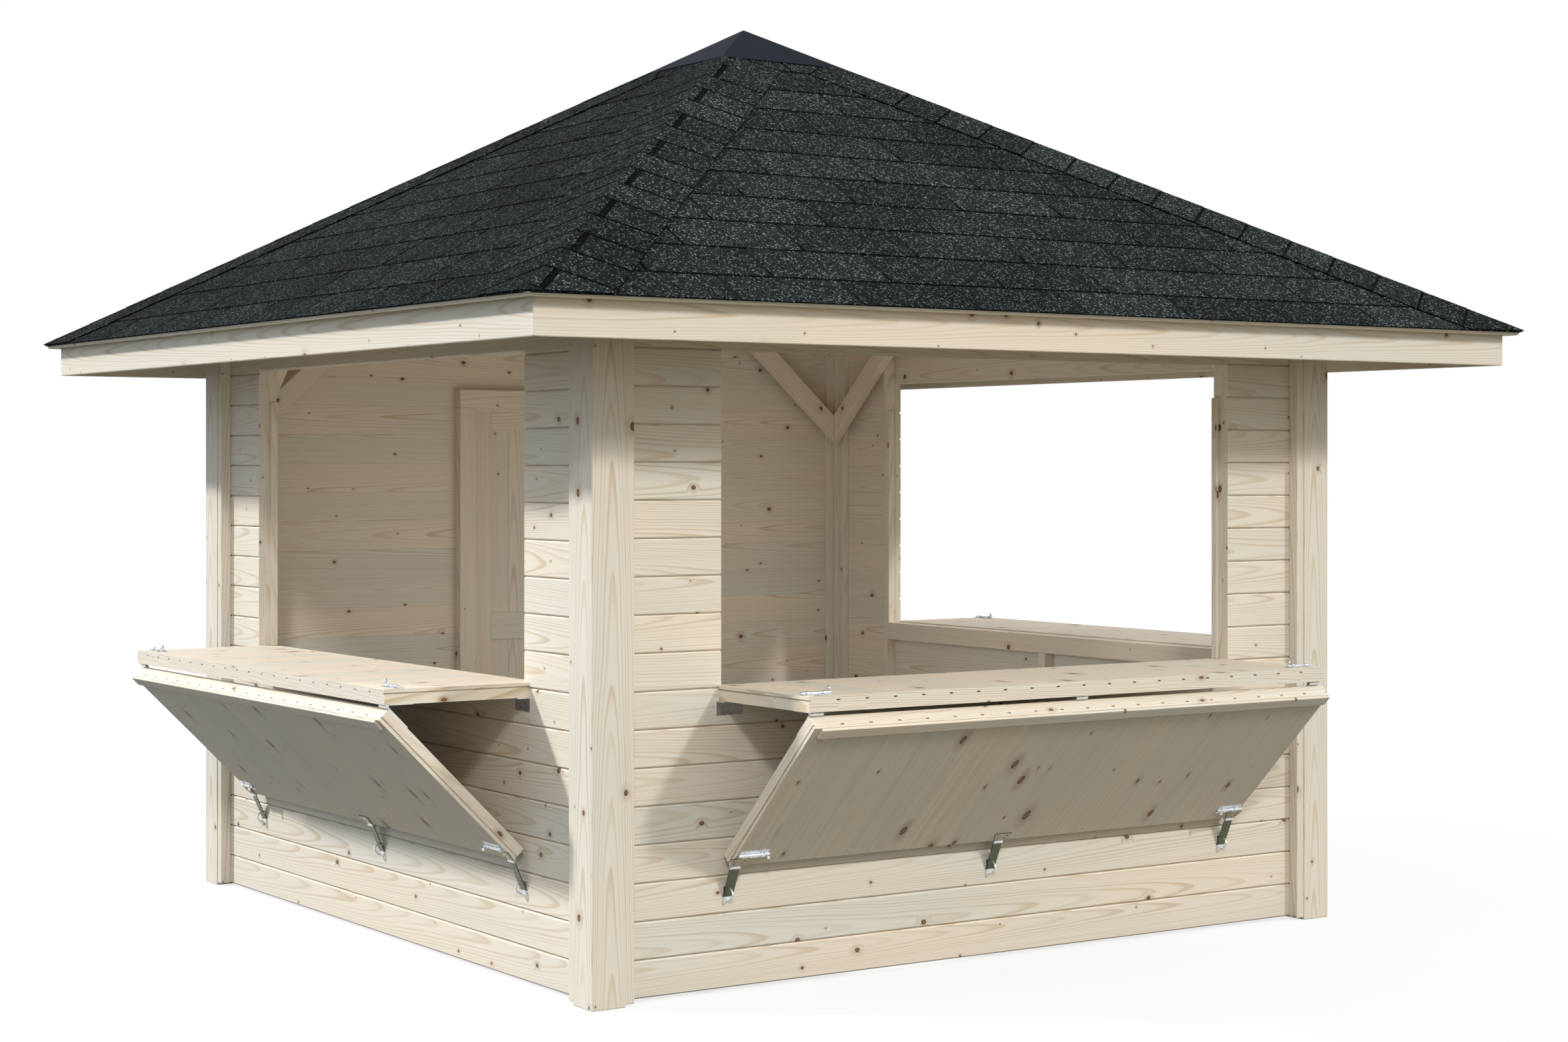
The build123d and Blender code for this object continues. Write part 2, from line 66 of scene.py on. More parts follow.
def linear(hex_colour):
    """Linear RGB of an sRGB hex colour, by the sRGB transfer curve."""
    srgb = np.array([int(hex_colour[i:i + 2], 16) for i in (1, 3, 5)]) / 255
    return tuple(np.where(srgb <= 0.04045, srgb / 12.92, ((srgb + 0.055) / 1.055) ** 2.4))


def length(name, text, default):
    """A length that a user may change."""
    return FloatProperty(name=name, description=text, default=default, min=0, precision=4, unit="LENGTH")


def share(name, text, default):
    """A plain number that a user may change."""
    return FloatProperty(name=name, description=text, default=default, min=0, precision=3)


def colour(name, text, hex_colour):
    """A colour that a user may change, written as sRGB hex."""
    return FloatVectorProperty(
        name=name, description=text, default=linear(hex_colour), subtype="COLOR", size=3, min=0, max=1
    )


class StallTimber(bpy.types.PropertyGroup):
    """Spruce: its colours and the sizes of its figure"""

    early_wood: colour("Early wood", "Pale wood between the growth lines", "#ECE8DF")
    late_wood: colour("Late wood", "Tan growth lines", "#CCB99B")
    warm_board: colour("Warm boards", "Tint of the yellowest boards", "#FFF6EB")
    cool_board: colour("Cool boards", "Tint of the palest boards", "#F2F1EC")
    knot_core: colour("Knot", "Brown inside of a knot", "#8A5C36")
    knot_rim: colour("Knot rim", "Dark ring round a knot", "#3E2718")
    ring_width: length("Ring width", "Growth of the tree from one tan line to the next", 0.0062)
    taper: share("Taper", "Growth of the rings along the trunk", 0.024)
    waver: length("Waver", "How far the growth lines stray", 0.020)
    waver_length: length("Waver length", "Length of one stray of the lines", 0.60)
    waver_width: length("Waver width", "Width of one stray of the lines", 0.11)
    pith_side: length("Pith aside", "Furthest place of the pith beside the middle of a wall board", 0.065)
    pith_depth: length("Pith depth", "Furthest place of the pith behind a wall board", 0.075)
    fibre_length: length("Fibre length", "Length of the fine streaks", 0.5)
    fibre_width: length("Fibre width", "Width of the fine streaks", 0.004)
    knot_spacing: length("Knot spacing", "Room that each possible knot has", 0.15)
    knot_share: share("Knot share", "Share of those rooms that have a knot", 0.5)
    knot_smallest: length("Smallest knot", "Radius of the smallest knot", 0.0022)
    knot_largest: length("Largest knot", "Radius of the largest knot", 0.0085)
    eased_edge: length("Eased edge", "Rounding along the edges of the frame timbers", 0.003)


class StallBoards(bpy.types.PropertyGroup):
    """Boards of the walls, hatches, roof and door"""

    cover: length("Board cover", "Height that one wall board covers", 0.1144)
    front_phase: length("Front phase", "Lower edge of the lowest board at front and back", 0.0103)
    side_phase: length("Side phase", "Lower edge of the lowest board at the sides", 0.0006)
    bevel: length("Bevel", "Bevel along the outer edges of a wall board", 0.0045)
    inner_bevel: length("Inner bevel", "Bevel along the inner edges of a wall board", 0.0015)
    slot: length("Slot", "Open joint between two wall boards", 0.0018)
    slot_depth: length("Slot depth", "Depth of that joint", 0.011)
    hatch_cover: length("Hatch board", "Width that one board of a hatch covers", 0.104)
    hatch_face: length("Hatch face", "Wood between the face of a hatch board and its groove", 0.010)
    hatch_groove: length("Hatch groove", "Height of the groove in a hatch board", 0.0045)
    hatch_groove_depth: length("Hatch groove depth", "Depth of that groove", 0.0065)
    hatch_joint: length("Hatch joint", "Half of the open joint on the face of the hatch", 0.0001)
    roof_cover: length("Roof board", "Width that one roof board covers", 0.096)
    panel_cover: length("Door board", "Width that one board of a door panel covers", 0.088)
    stop_width: length("Door stop", "Width of the strips that the door closes against", 0.016)
    stop_depth: length("Door stop depth", "Thickness of those strips", 0.018)
    stop_gap: length("Door stop gap", "Room between those strips and the leaf", 0.002)


class StallRoof(bpy.types.PropertyGroup):
    """Bitumen shingles and the metal cap"""

    exposure: length("Exposure", "Part of a course that shows, up the slope", 0.193)
    first_course: length("First course", "Upper end of the part of the lowest course that shows", 0.157)
    tab: length("Tab", "Width of one tab", 0.428)
    tab_phase: length("Tab phase", "Shift of the slits in the lowest course to the left", 0.004)
    stagger: share("Stagger", "Shift of the slits from course to course, as a share of a tab", 0.52)
    slit: length("Slit", "Width of the slit between two tabs", 0.015)
    lip: length("Lip", "Shingles beyond the edge of the roof boards", 0.006)
    layer: length("Layer", "Thickness of the laid shingles", 0.005)
    sheet: length("Sheet", "Thickness of one shingle", 0.0025)
    felt: length("Felt", "Thickness of the felt under the shingles", 0.0005)
    tuck: length("Tuck", "Length of a shingle under the next one", 0.04)
    hip_width: length("Hip piece", "Width of a hip piece on each slope", 0.212)
    hip_step: length("Hip step", "Rise up the slope from one hip piece to the next", 0.1245)
    hip_first: length("First hip step", "Rise of the lowest edge of a hip piece", 0.0294)
    hip_slit_start: length("Hip slit", "Slit in every second hip piece, from the hip", 0.024)
    hip_slit_width: length("Hip slit width", "Width of that slit", 0.022)
    # Painted shade: the shingle colour darkens in a line under the edge of the next shingle and in the slits
    painted_shade_line: length("Dirt line", "Dark line under the edge of the next shingle", 0.010)
    granule: length("Granule", "Mineral granules, drawn coarser than real so that they show", 0.0042)
    dark_granule: colour("Dark granules", "Charcoal granules", "#131517")
    mid_granule: colour("Grey granules", "Slate grey granules", "#262B2B")
    pale_granule: colour("Pale granules", "Scattered pale granules", "#747B7B")
    dark_felt: colour("Dark felt", "Darkest parts of the felt", "#0E0F10")
    pale_felt: colour("Pale felt", "Palest parts of the felt", "#1E2022")
    cap_paint: colour("Cap", "Paint on the metal cap", "#191E25")


class StallFittings(bpy.types.PropertyGroup):
    """Hinges, hasps, bolts and screws"""

    zinc_plate: colour("Zinc", "Zinc plating", "#DADDE0")
    # Painted reflection: the straps' dark olive colour stands for the green ground that they mirror
    strap_steel: colour("Strap", "Bare steel of the hasp straps, which mirrors the ground", "#5A5D4C")
    # Painted reflection: the hasp plates' dim olive colour stands for the green ground that they mirror
    dull_zinc: colour("Dull zinc", "Dulled plating of the hasp plates, which mirrors the ground", "#97937F")
    bolt_end_inset: length("Bolt end inset", "Middle of a bolt from the end of the hatch", 0.060)
    bolt_edge_inset: length("Bolt edge inset", "Middle of a bolt from the free edge of the hatch", 0.054)
    bolt_rod: length("Bolt rod", "Radius of the bolt's rod", 0.005)
    guide_place: length("Guide place", "Guides of a bolt from its middle", 0.030)
    guide_width: length("Guide width", "Width of a guide along the rod", 0.012)
    guide_thick: length("Guide thickness", "Thickness of a guide", 0.002)
    guide_foot: length("Guide foot", "Foot of a guide beside the rod", 0.009)
    knob_place: length("Knob place", "Knob of a bolt from its middle", 0.046)
    knob_height: length("Knob height", "Top of the knob above the rod", 0.019)
    knob_radius: length("Knob radius", "Radius of the knob", 0.006)
    hasp_end_inset: length("Hasp end inset", "Middle of a hasp from the end of the flap", 0.020)
    hasp_width: length("Hasp width", "Width of the strap", 0.035)
    hasp_flare: length("Hasp flare", "Width of the plate at its upper edge", 0.068)
    hasp_grip: length("Hasp grip", "Length of the plate on the flap", 0.038)
    hasp_plate: length("Hasp plate", "Thickness of the plate", 0.0042)
    hasp_roll: length("Knuckle place", "Middle of the knuckle past the edge of the flap", 0.005)
    hasp_knuckle: length("Knuckle", "Radius of the knuckle", 0.0062)
    screw_radius: length("Screw", "Radius of a screw head", 0.0036)
    staple_level: length("Staple level", "Middle of the staple above the ground", 0.297)
    staple_radius: length("Staple radius", "Half of the staple's height", 0.021)
    staple_wire: length("Staple wire", "Radius of the staple's wire", 0.0032)
    staple_reach: length("Staple reach", "Staple's furthest point off the wall", 0.034)
    staple_plate: length("Staple plate", "Half the height of the plate behind the staple", 0.024)


class StallStage(bpy.types.PropertyGroup):
    """Floor, lights and camera"""

    floor: colour("Floor", "Pale floor", "#F2F2F0")
    bounce_front: colour("Front bounce", "Light that the floor in front sends back to the stall", "#5E5B4D")
    bounce_left: colour("Left bounce", "Light that the floor on the left sends back to the stall", "#2A3230")
    key: share("Key light", "Strength of the light on the front", 1.2)
    side: share("Side light", "Strength of the light on the left wall", 3.0)
    fill: share("Fill light", "Strength of the light from beside the camera", 0.8)
    sky: share("Sky", "Strength of the even light from all round", 1.0)
    sky_front: colour("Front sky", "Colour of the even light from the front and right", "#ECEAE3")
    sky_left: colour("Left sky", "Colour of the even light from the left and behind", "#DAE7F7")
    room: share("Room light", "Power of the soft light inside the stall, in watts", 15.5)


SETTINGS = {
    "stall_timber": StallTimber,
    "stall_boards": StallBoards,
    "stall_roof": StallRoof,
    "stall_fittings": StallFittings,
    "stall_stage": StallStage,
}


def node_points(name):
    """Vertices of a node of the frame, one row each."""
    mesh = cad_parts[name].data
    points = np.zeros(len(mesh.vertices) * 3)
    mesh.vertices.foreach_get("co", points)
    return points.reshape(-1, 3)


def distinct(values):
    """Values that differ by at least a tenth of a millimetre, in rising order."""
    return np.unique(values.round(4))


def wall_axes(turn):
    """Directions along a wall, to the right from outside, and out of it."""
    angle = np.radians(turn)
    return np.array([np.cos(angle), np.sin(angle), 0]), np.array([np.sin(angle), -np.cos(angle), 0])


def on_wall(turn, place, distance, height):
    """Points at a place along a wall, a distance out from the centre and a height, as one array."""
    along, out = wall_axes(turn)
    place, distance, height = np.broadcast_arrays(place, distance, height)
    return place[..., None] * along + distance[..., None] * out + height[..., None] * UP


# Sizes read from the frame
POST_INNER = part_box("front_wall")[1].x
BOARD_OUTER = -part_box("front_wall")[0].y
BOARD_INNER = -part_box("front_wall")[1].y
GROUND_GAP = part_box("front_wall")[0].z
OPENING_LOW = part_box("sill_rails")[1].z
OPENING_TOP = distinct(node_points("front_wall")[:, 2])[2]
OPENINGS = {side: distinct(node_points(f"{side}_wall") @ wall_axes(SIDES[side])[0])[1:3]
            for side in HATCH_SIDES}
FRAME_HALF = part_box("door_head")[1].x
FRAME_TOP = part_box("door_head")[1].z
FASCIA_LOW, FASCIA_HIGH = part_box("side_fascias")

# Piths of the frame timbers: beyond the posts' inner edges, and behind the fascias and above their middles
POST_PITH = (0.048, 0.066)
FASCIA_PITH = (0.052, 0.012)

# Section of the roof: its eave, the direction up the slope and the normal, as distance and height
ROOF_POINTS = node_points("front_roof_boards")
EAVE = ROOF_POINTS[ROOF_POINTS[:, 2].argmin(), 1:] * (-1, 1)
ROOF_EDGE = ROOF_POINTS[ROOF_POINTS[:, 1].argmin(), 1:] * (-1, 1)
ROOF_BOARD = np.linalg.norm(ROOF_EDGE - EAVE)
NORMAL = (ROOF_EDGE - EAVE) / ROOF_BOARD
UPHILL = np.array([-NORMAL[1], NORMAL[0]])
CAP_RISE = (EAVE[0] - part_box("metal_cap")[1].x) / NORMAL[1]
SLOPE_LENGTH = EAVE[0] / NORMAL[1]


def roof_section(rise, lift):
    """Distance and height of a point a rise up the slope and a lift above the roof boards' underside."""
    distance = EAVE[0] + rise * UPHILL[0] + lift * NORMAL[0]
    height = EAVE[1] + rise * UPHILL[1] + lift * NORMAL[1]
    return distance, height


def on_slope(turn, rise, place, lift):
    """Points on one slope of the roof, as one array."""
    distance, height = roof_section(rise, lift)
    return on_wall(turn, place, distance, height)


def rings(*points):
    """Section rings, one row a bar, from the two coordinates of each corner in turn."""
    first, second = (np.stack(np.broadcast_arrays(*column), axis=-1) for column in zip(*points))
    return np.broadcast_arrays(first, second)


def tubes(loops):
    """Tubes: each one's loops of corners are joined in turn by flat sides, and both ends are closed."""
    count, rows, corners = loops.shape[:3]
    row = np.arange(rows - 1)[:, None] * corners
    step = np.arange(corners)
    turn = np.roll(step, -1)
    sides = np.stack([row + step, row + turn, row + corners + turn, row + corners + step], axis=-1)
    first = np.arange(count)[:, None] * rows * corners
    quads = (first[:, :, None] + sides.reshape(-1, 4)).reshape(-1, 4)
    ends = np.concatenate([first + step[::-1], first + (rows - 1) * corners + step])
    return loops.reshape(-1, 3), [quads, ends]


def bars(base, tip):
    """Straight bars between the rings of corners at their two ends."""
    return tubes(np.stack([base, tip], axis=1))


def lathe(profile, origins, axes, segments):
    """Turned pieces: profile rows of radius and height are carried round each origin's axis, the third of its
    three axes, in even steps, and closed by flat discs at both ends."""
    angle = np.linspace(0, 2 * np.pi, segments, endpoint=False)
    circle = np.stack([np.cos(angle), np.sin(angle), np.zeros(segments)], axis=-1)
    local = profile[:, None, :1] * circle + profile[:, None, 1:] * UP
    return tubes(origins[:, None, None] + local @ axes)


def joined(*shapes):
    """Several pairs of vertices and groups of faces as one pair."""
    starts = np.cumsum([0] + [len(vertices) for vertices, groups in shapes])
    faces = [group + start for start, shape in zip(starts, shapes) for group in shape[1]]
    return np.concatenate([vertices for vertices, groups in shapes]), faces


# Distance that gives the narrow faces of a timber other knots than its wide faces
EDGE_SHIFT = 5.0
# Length of trunk within which the start of each board is drawn
TRUNK = 40


def behind(depth):
    """Limits of the pith's place behind a board: a quarter of its furthest place, and that place."""
    return depth / 4, depth


def grain_map(shape, along, across, board, seed, aside, depth):
    """Place in the tree of each face corner of some boards: a distance along the trunk, and two distances
    from the pith, whose place beside and behind the middle of each board is drawn between two limits. On the
    cut ends the figure runs across the boards instead. Knots have a flat place of their own on every face."""
    vertices, (quads, cuts) = shape
    owner = np.repeat(board, len(vertices) // len(board))
    size = np.maximum(np.bincount(owner), 1)
    low, high = (0, aside[0], depth[0]), (TRUNK, aside[1], depth[1])
    draws = np.random.default_rng(seed).uniform(low, high, (len(size), 3))
    x, y, z = (vertices @ np.stack([along, across, np.cross(along, across)], axis=-1)).T
    draws[:, 1] -= np.bincount(owner, y) / size
    draws[:, 2] -= np.bincount(owner, z) / size
    sides = np.stack([x, y, z], axis=-1) + draws[owner]
    ends = np.stack([y, z + draws[owner, 2], np.full_like(z, depth[0])], axis=-1)[cuts.ravel()]
    wide = np.abs(y[quads[:, 1]] - y[quads[:, 0]]) >= np.abs(z[quads[:, 1]] - z[quads[:, 0]])
    corners = sides[quads]
    face = np.where(wide[:, None], corners[..., 1], corners[..., 2] + EDGE_SHIFT)
    flat = np.stack([corners[..., 0], face, np.zeros_like(face)], axis=-1).reshape(-1, 3)
    return {"grain": np.concatenate([corners.reshape(-1, 3), ends]), "knots": np.concatenate([flat, ends])}


def piece(name, shape, finish, slot, body="stall", replaces=(), **attributes):
    """One finished piece: its mesh with outward faces, its material, its body and what it stands for."""
    vertices, groups = shape
    mesh = bpy.data.meshes.new(name)
    mesh.from_pydata(vertices.tolist(), [], [face for group in groups for face in group.tolist()])
    for key, values in attributes.items():
        kind, field = ("FLOAT_VECTOR", "vector") if values.ndim == 2 else ("FLOAT", "value")
        domain = "POINT" if len(values) == len(vertices) else "CORNER"
        mesh.attributes.new(key, kind, domain).data.foreach_set(field, values.astype(np.float32).ravel())
    work = bmesh.new()
    work.from_mesh(mesh)
    bmesh.ops.dissolve_degenerate(work, dist=1e-6, edges=work.edges[:])
    bmesh.ops.recalc_face_normals(work, faces=work.faces[:])
    work.to_mesh(mesh)
    work.free()
    mesh.materials.append(finish_of(finish))
    made = bpy.data.objects.new(name, mesh)
    bpy.context.scene.collection.objects.link(made)
    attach(made, body)
    if replaces:
        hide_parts(*replaces)


def dress(name, finish, edge=0.0):
    """Give a node of the frame its material, and rounded edges where an edge is given."""
    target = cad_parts[name]
    target.data.materials.clear()
    target.data.materials.append(finish_of(finish))
    if edge:
        weld = target.modifiers.new("Weld", "WELD")
        weld.merge_threshold = 1e-5
        bevel = target.modifiers.new("Eased edges", "BEVEL")
        bevel.width = edge
        bevel.segments = 2
        bevel.limit_method = "ANGLE"


def node(tree, kind, *inputs, out=0, **settings):
    """Add a shader node. Inputs fill its open sockets in order, and settings with a capital letter name one.
    A socket given to it is linked, and any other value is set. Returns one open output, or all for None."""
    made = tree.nodes.new("ShaderNode" + kind)
    named = {key: value for key, value in settings.items() if key[0].isupper()}
    for key in settings.keys() - named.keys():
        setattr(made, key, settings[key])
    pairs = list(zip([socket for socket in made.inputs if socket.enabled], inputs))
    pairs += [(made.inputs[key.replace("_", " ")], value) for key, value in named.items()]
    for socket, value in pairs:
        if isinstance(value, bpy.types.NodeSocket):
            tree.links.new(value, socket)
        else:
            socket.default_value = (*value, 1.0) if socket.type == "RGBA" else value
    outputs = [socket for socket in made.outputs if socket.enabled]
    if out is None or not outputs:
        return outputs
    return made.outputs[out] if isinstance(out, str) else outputs[out]


def new_material(name):
    """An empty node material, and the function that adds nodes to it."""
    material = bpy.data.materials.new(name)
    material.use_nodes = True
    material.node_tree.nodes.clear()
    return material, partial(node, material.node_tree)


def board_grain(add):
    """Grain and knots of the boards, from their own maps."""
    return [add("Attribute", attribute_name=key, out="Vector") for key in ("grain", "knots")]


def on_faces(add, along, wide, narrow, axes):
    """Flat place of the knots: along the timber, and across its wide faces, or across its narrow faces, which
    look along the first of two axes more than along the second."""
    normal = add("SeparateXYZ", add("TexCoord", out="Normal"), out=None)
    first, second = (add("Math", normal[axis], operation="ABSOLUTE") for axis in axes)
    turned = add("Math", first, second, operation="GREATER_THAN")
    shifted = add("Math", narrow, EDGE_SHIFT, operation="ADD")
    return add("CombineXYZ", along, add("Mix", turned, wide, shifted))


def plan_parts(add):
    """Coordinates of a point, and its distances from the middle planes of the plan."""
    x, y, z = add("SeparateXYZ", add("TexCoord", out="Object"), out=None)
    return x, y, z, *(add("Math", value, operation="ABSOLUTE") for value in (x, y))


def upright_grain(add):
    """Grain of upright timbers: up, and two distances from a pith inside the corner posts."""
    x, y, z, far_x, far_y = plan_parts(add)
    aside = add("Math", far_x, POST_INNER + POST_PITH[0], operation="SUBTRACT")
    inward = add("Math", far_y, POST_INNER + POST_PITH[1], operation="SUBTRACT")
    return add("CombineXYZ", z, aside, inward), on_faces(add, z, x, y, (0, 1))


def wall_parts(add):
    """Place along the nearest wall, distance from the centre, height, and 1 at the front and back walls."""
    x, y, z, far_x, far_y = plan_parts(add)
    crosswise = add("Math", far_y, far_x, operation="GREATER_THAN")
    distance = add("Math", add("Mix", crosswise, x, y), operation="ABSOLUTE")
    return add("Mix", crosswise, y, x), distance, z, crosswise


def rail_grain(add):
    """Grain of level timbers: along the nearest wall, and two distances from a pith behind the fascias."""
    along, distance, height, crosswise = wall_parts(add)
    apart = add("Math", crosswise, 2 * EAVE[0], along, operation="MULTIPLY_ADD")
    middle = (FASCIA_LOW.z + FASCIA_HIGH.z) / 2
    aside = add("Math", height, middle + FASCIA_PITH[1], operation="SUBTRACT")
    inward = add("Math", distance, FASCIA_HIGH.x - FASCIA_PITH[0], operation="SUBTRACT")
    return add("CombineXYZ", apart, aside, inward), on_faces(add, apart, height, distance, (2, 0))


# Lean of the corner braces away from the posts
BRACE_LEAN = np.radians(42)


def brace_grain(add):
    """Grain of the corner braces, which lean away from the posts."""
    along, distance, height = wall_parts(add)[:3]
    point = add("CombineXYZ", add("Math", along, operation="ABSOLUTE"), height, distance)
    turned = add("Mapping", point, Rotation=(0, 0, BRACE_LEAN))
    lean, across, depth = add("SeparateXYZ", turned, out=None)
    return turned, on_faces(add, lean, across, depth, (2, 2))


# Shares of a knot's radius: where its edge starts and ends, where its halo ends, and where its rim darkens
KNOT_EDGE = (0.9, 1.15)
KNOT_HALO = 4.0
KNOT_RIM = (0.45, 0.95)
# Power that makes most knots small, swelling of the rings round a knot in ring widths, and brown of a halo
KNOT_POWER = 2.0
KNOT_SWELLING = 0.9
KNOT_STAIN = 0.25
# Shares of a ring: where late wood sets in, and where it breaks off
LATE_RISE = (0.5, 0.9)
LATE_FALL = (0.92, 1.0)
# Strengths of the faintest and strongest rings, and of the fine streaks with the noise that draws them
RING_STRENGTH = (0.2, 0.68)
STREAK_STRENGTH = 0.18
STREAK_RANGE = (0.3, 0.7)
# Roughness of the waver, tints to a metre of trunk with the noise that draws them, and the relief
WAVER_ROUGHNESS = 0.35
TINT_SCALE = 0.45
TINT_RANGE = (0.36, 0.64)
RELIEF = (0.12, 0.001)


def planed_spruce(name, grain, knot_length=1.25, knot_growth=1.0, contrast=1.0, crowding=1.0):
    """Planed spruce: pale early wood with tan late wood lines, which are the rings of the tree cut by the
    saw, so they run close along the edges and meet in long arches, brown knots that push the lines aside,
    fine streaks, and a tint for each board."""
    looks = bpy.context.scene.stall_timber
    material, add = new_material(name)
    place, face = grain(add)
    # Knots: one possible place in each cell, of which a share have a knot, round and as wide as drawn
    cell = crowding / looks.knot_spacing
    squeezed = add("Mapping", face, Scale=(cell / knot_length, cell, cell))
    distance, draws = add("TexVoronoi", squeezed, 1.0, voronoi_dimensions="2D", out=None)[:2]
    chance, width = add("SeparateColor", draws, out=None)[:2]
    present = add("Math", chance, looks.knot_share, operation="LESS_THAN")
    small = add("Math", width, KNOT_POWER, operation="POWER")
    size = add("MapRange", small, 0, 1, looks.knot_smallest * cell, knot_growth * looks.knot_largest * cell)
    spread = add("Math", distance, size, operation="DIVIDE")
    fades = (add("MapRange", spread, KNOT_EDGE[0], reach, 1, 0, interpolation_type="SMOOTHSTEP")
             for reach in (KNOT_HALO, KNOT_EDGE[1]))
    halo, knot = (add("Math", fade, present, operation="MULTIPLY") for fade in fades)
    rim = add("MapRange", spread, *KNOT_RIM)
    # Growth rings: the distance from the pith, which tapers up the trunk, wavers and swells round the knots
    along, aside, inward = add("SeparateXYZ", place, out=None)
    radius = add("VectorMath", add("CombineXYZ", 0, aside, inward), operation="LENGTH")
    tapered = add("Math", along, looks.taper, radius, operation="MULTIPLY_ADD")
    wide, fine = 1 / looks.waver_width, 1 / looks.fibre_width
    drawn_out = add("Mapping", place, Scale=(1 / looks.waver_length, wide, wide))
    stray = add("TexNoise", drawn_out, 1.0, 1.0, WAVER_ROUGHNESS)
    wavered = add("Math", stray, looks.waver, tapered, operation="MULTIPLY_ADD")
    swollen = add("Math", halo, KNOT_SWELLING * looks.ring_width, wavered, operation="MULTIPLY_ADD")
    count = add("Math", swollen, looks.ring_width, operation="DIVIDE")
    ring = add("Math", count, operation="FRACT")
    rise = add("MapRange", ring, *LATE_RISE, interpolation_type="SMOOTHSTEP")
    late = add("Math", rise, add("MapRange", ring, *LATE_FALL, 1, 0), operation="MULTIPLY")
    # Some rings are stronger than others
    season = add("TexWhiteNoise", add("Math", count, operation="FLOOR"), noise_dimensions="1D")
    strength = add("MapRange", season, 0, 1, RING_STRENGTH[0] / contrast, RING_STRENGTH[1] * contrast)
    late = add("Math", late, strength, operation="MULTIPLY")
    # Fine streaks along the grain
    fibre = add("TexNoise", add("Mapping", place, Scale=(1 / looks.fibre_length, fine, fine)), 1.0, 2.0)
    streak = add("MapRange", fibre, *STREAK_RANGE, 0, STREAK_STRENGTH * contrast)
    line = add("Math", late, streak, operation="ADD")
    wood = add("Mix", line, looks.early_wood, looks.late_wood, data_type="RGBA")
    # Tint, so slow that it is one shade a board
    mood = add("MapRange", add("TexNoise", place, TINT_SCALE, 1.0), *TINT_RANGE)
    tint = add("Mix", mood, looks.cool_board, looks.warm_board, data_type="RGBA")
    wood = add("Mix", 1.0, wood, tint, data_type="RGBA", blend_type="MULTIPLY")
    stain = add("Math", halo, KNOT_STAIN * contrast, operation="MULTIPLY")
    wood = add("Mix", stain, wood, looks.knot_core, data_type="RGBA")
    branch = add("Mix", rim, looks.knot_core, looks.knot_rim, data_type="RGBA")
    wood = add("Mix", knot, wood, branch, data_type="RGBA")
    relief = add("Bump", *RELIEF, Height=line)
    add("OutputMaterial", add("BsdfPrincipled", Base_Color=wood, Normal=relief, Roughness=0.62, IOR=1.45))
    return material


# Shingles: draws that turn a granule grey or pale, length and share of a cloud, darkest painted shade, and
# relief
GREY_DRAWS = (0.3, 0.8)
PALE_DRAWS = (0.88, 0.98)
CLOUD_LENGTH = 0.35
CLOUD_SHARE = 0.5
PAINTED_SHADE_DARKEST = 0.15
GRANULE_RELIEF = (0.5, 0.0015)


def bitumen_shingle(name):
    """Bitumen shingle pressed with mineral granules: matt charcoal with grey and pale specks, a tone for each
    tab, and painted shade under the edge of each next shingle and in the slits."""
    roof = bpy.context.scene.stall_roof
    material, add = new_material(name)
    place = add("TexCoord", out="Object")
    cells = add("TexVoronoi", place, 1 / roof.granule, out="Color")
    first, second = add("SeparateColor", cells, out=None)[:2]
    grey, pale = add("MapRange", first, *GREY_DRAWS), add("MapRange", second, *PALE_DRAWS)
    stone = add("Mix", grey, roof.dark_granule, roof.mid_granule, data_type="RGBA")
    stone = add("Mix", pale, stone, roof.pale_granule, data_type="RGBA")
    tone, showing = (add("Attribute", attribute_name=key, out="Fac") for key in ("tone", "showing"))
    cloud = add("TexNoise", place, 1 / CLOUD_LENGTH, 2.0)
    shade = add("Math", cloud, CLOUD_SHARE, tone, operation="MULTIPLY_ADD")
    # Painted shade under the edge of the next shingle, and on the parts of the course below that show in the
    # slits
    painted_shade = add("MapRange", showing, roof.painted_shade_line / 2, roof.painted_shade_line, PAINTED_SHADE_DARKEST)
    shade = add("Math", shade, painted_shade, operation="MULTIPLY")
    stone = add("Mix", 1.0, stone, shade, data_type="RGBA", blend_type="MULTIPLY")
    relief = add("Bump", *GRANULE_RELIEF, Height=first)
    surface = add("BsdfPrincipled", Base_Color=stone, Normal=relief, Roughness=0.95, Specular_IOR_Level=0.02)
    add("OutputMaterial", surface)
    return material


def sheet(name, spots, detail, dark, pale, rough, **surface):
    """A sheet whose colour and roughness drift between two values, in spots of a size along the three axes,
    with the detail of their noise, or none for flakes."""
    material, add = new_material(name)
    place = add("Mapping", add("TexCoord", out="Object"), Scale=[1 / size for size in spots])
    if detail:
        drift = add("TexNoise", place, 1.0, detail)
    else:
        drift = add("SeparateColor", add("TexVoronoi", place, 1.0, out="Color"))
    coat = add("Mix", drift, dark, pale, data_type="RGBA")
    gloss = add("MapRange", drift, 0, 1, *rough) if isinstance(rough, tuple) else rough
    add("OutputMaterial", add("BsdfPrincipled", Base_Color=coat, Roughness=gloss, **surface))
    return material


def roofing_felt(name):
    """Bitumen felt under the shingles: nearly black where it shows in the slits, where that black is partly
    the felt's own colour and partly painted shade.
    """
    roof = bpy.context.scene.stall_roof
    return sheet(name, spots=[0.003] * 3, detail=2.0, dark=roof.dark_felt, pale=roof.pale_felt, rough=0.95,
                 Specular_IOR_Level=0.1)


def painted_steel(name):
    """Folded steel sheet with a baked slate paint: smooth and even, with a faint drift of gloss."""
    paint = bpy.context.scene.stall_roof.cap_paint
    return sheet(name, spots=[0.12] * 3, detail=3.0, dark=0.9 * paint, pale=paint, rough=(0.55, 0.7),
                 Specular_IOR_Level=0.02)


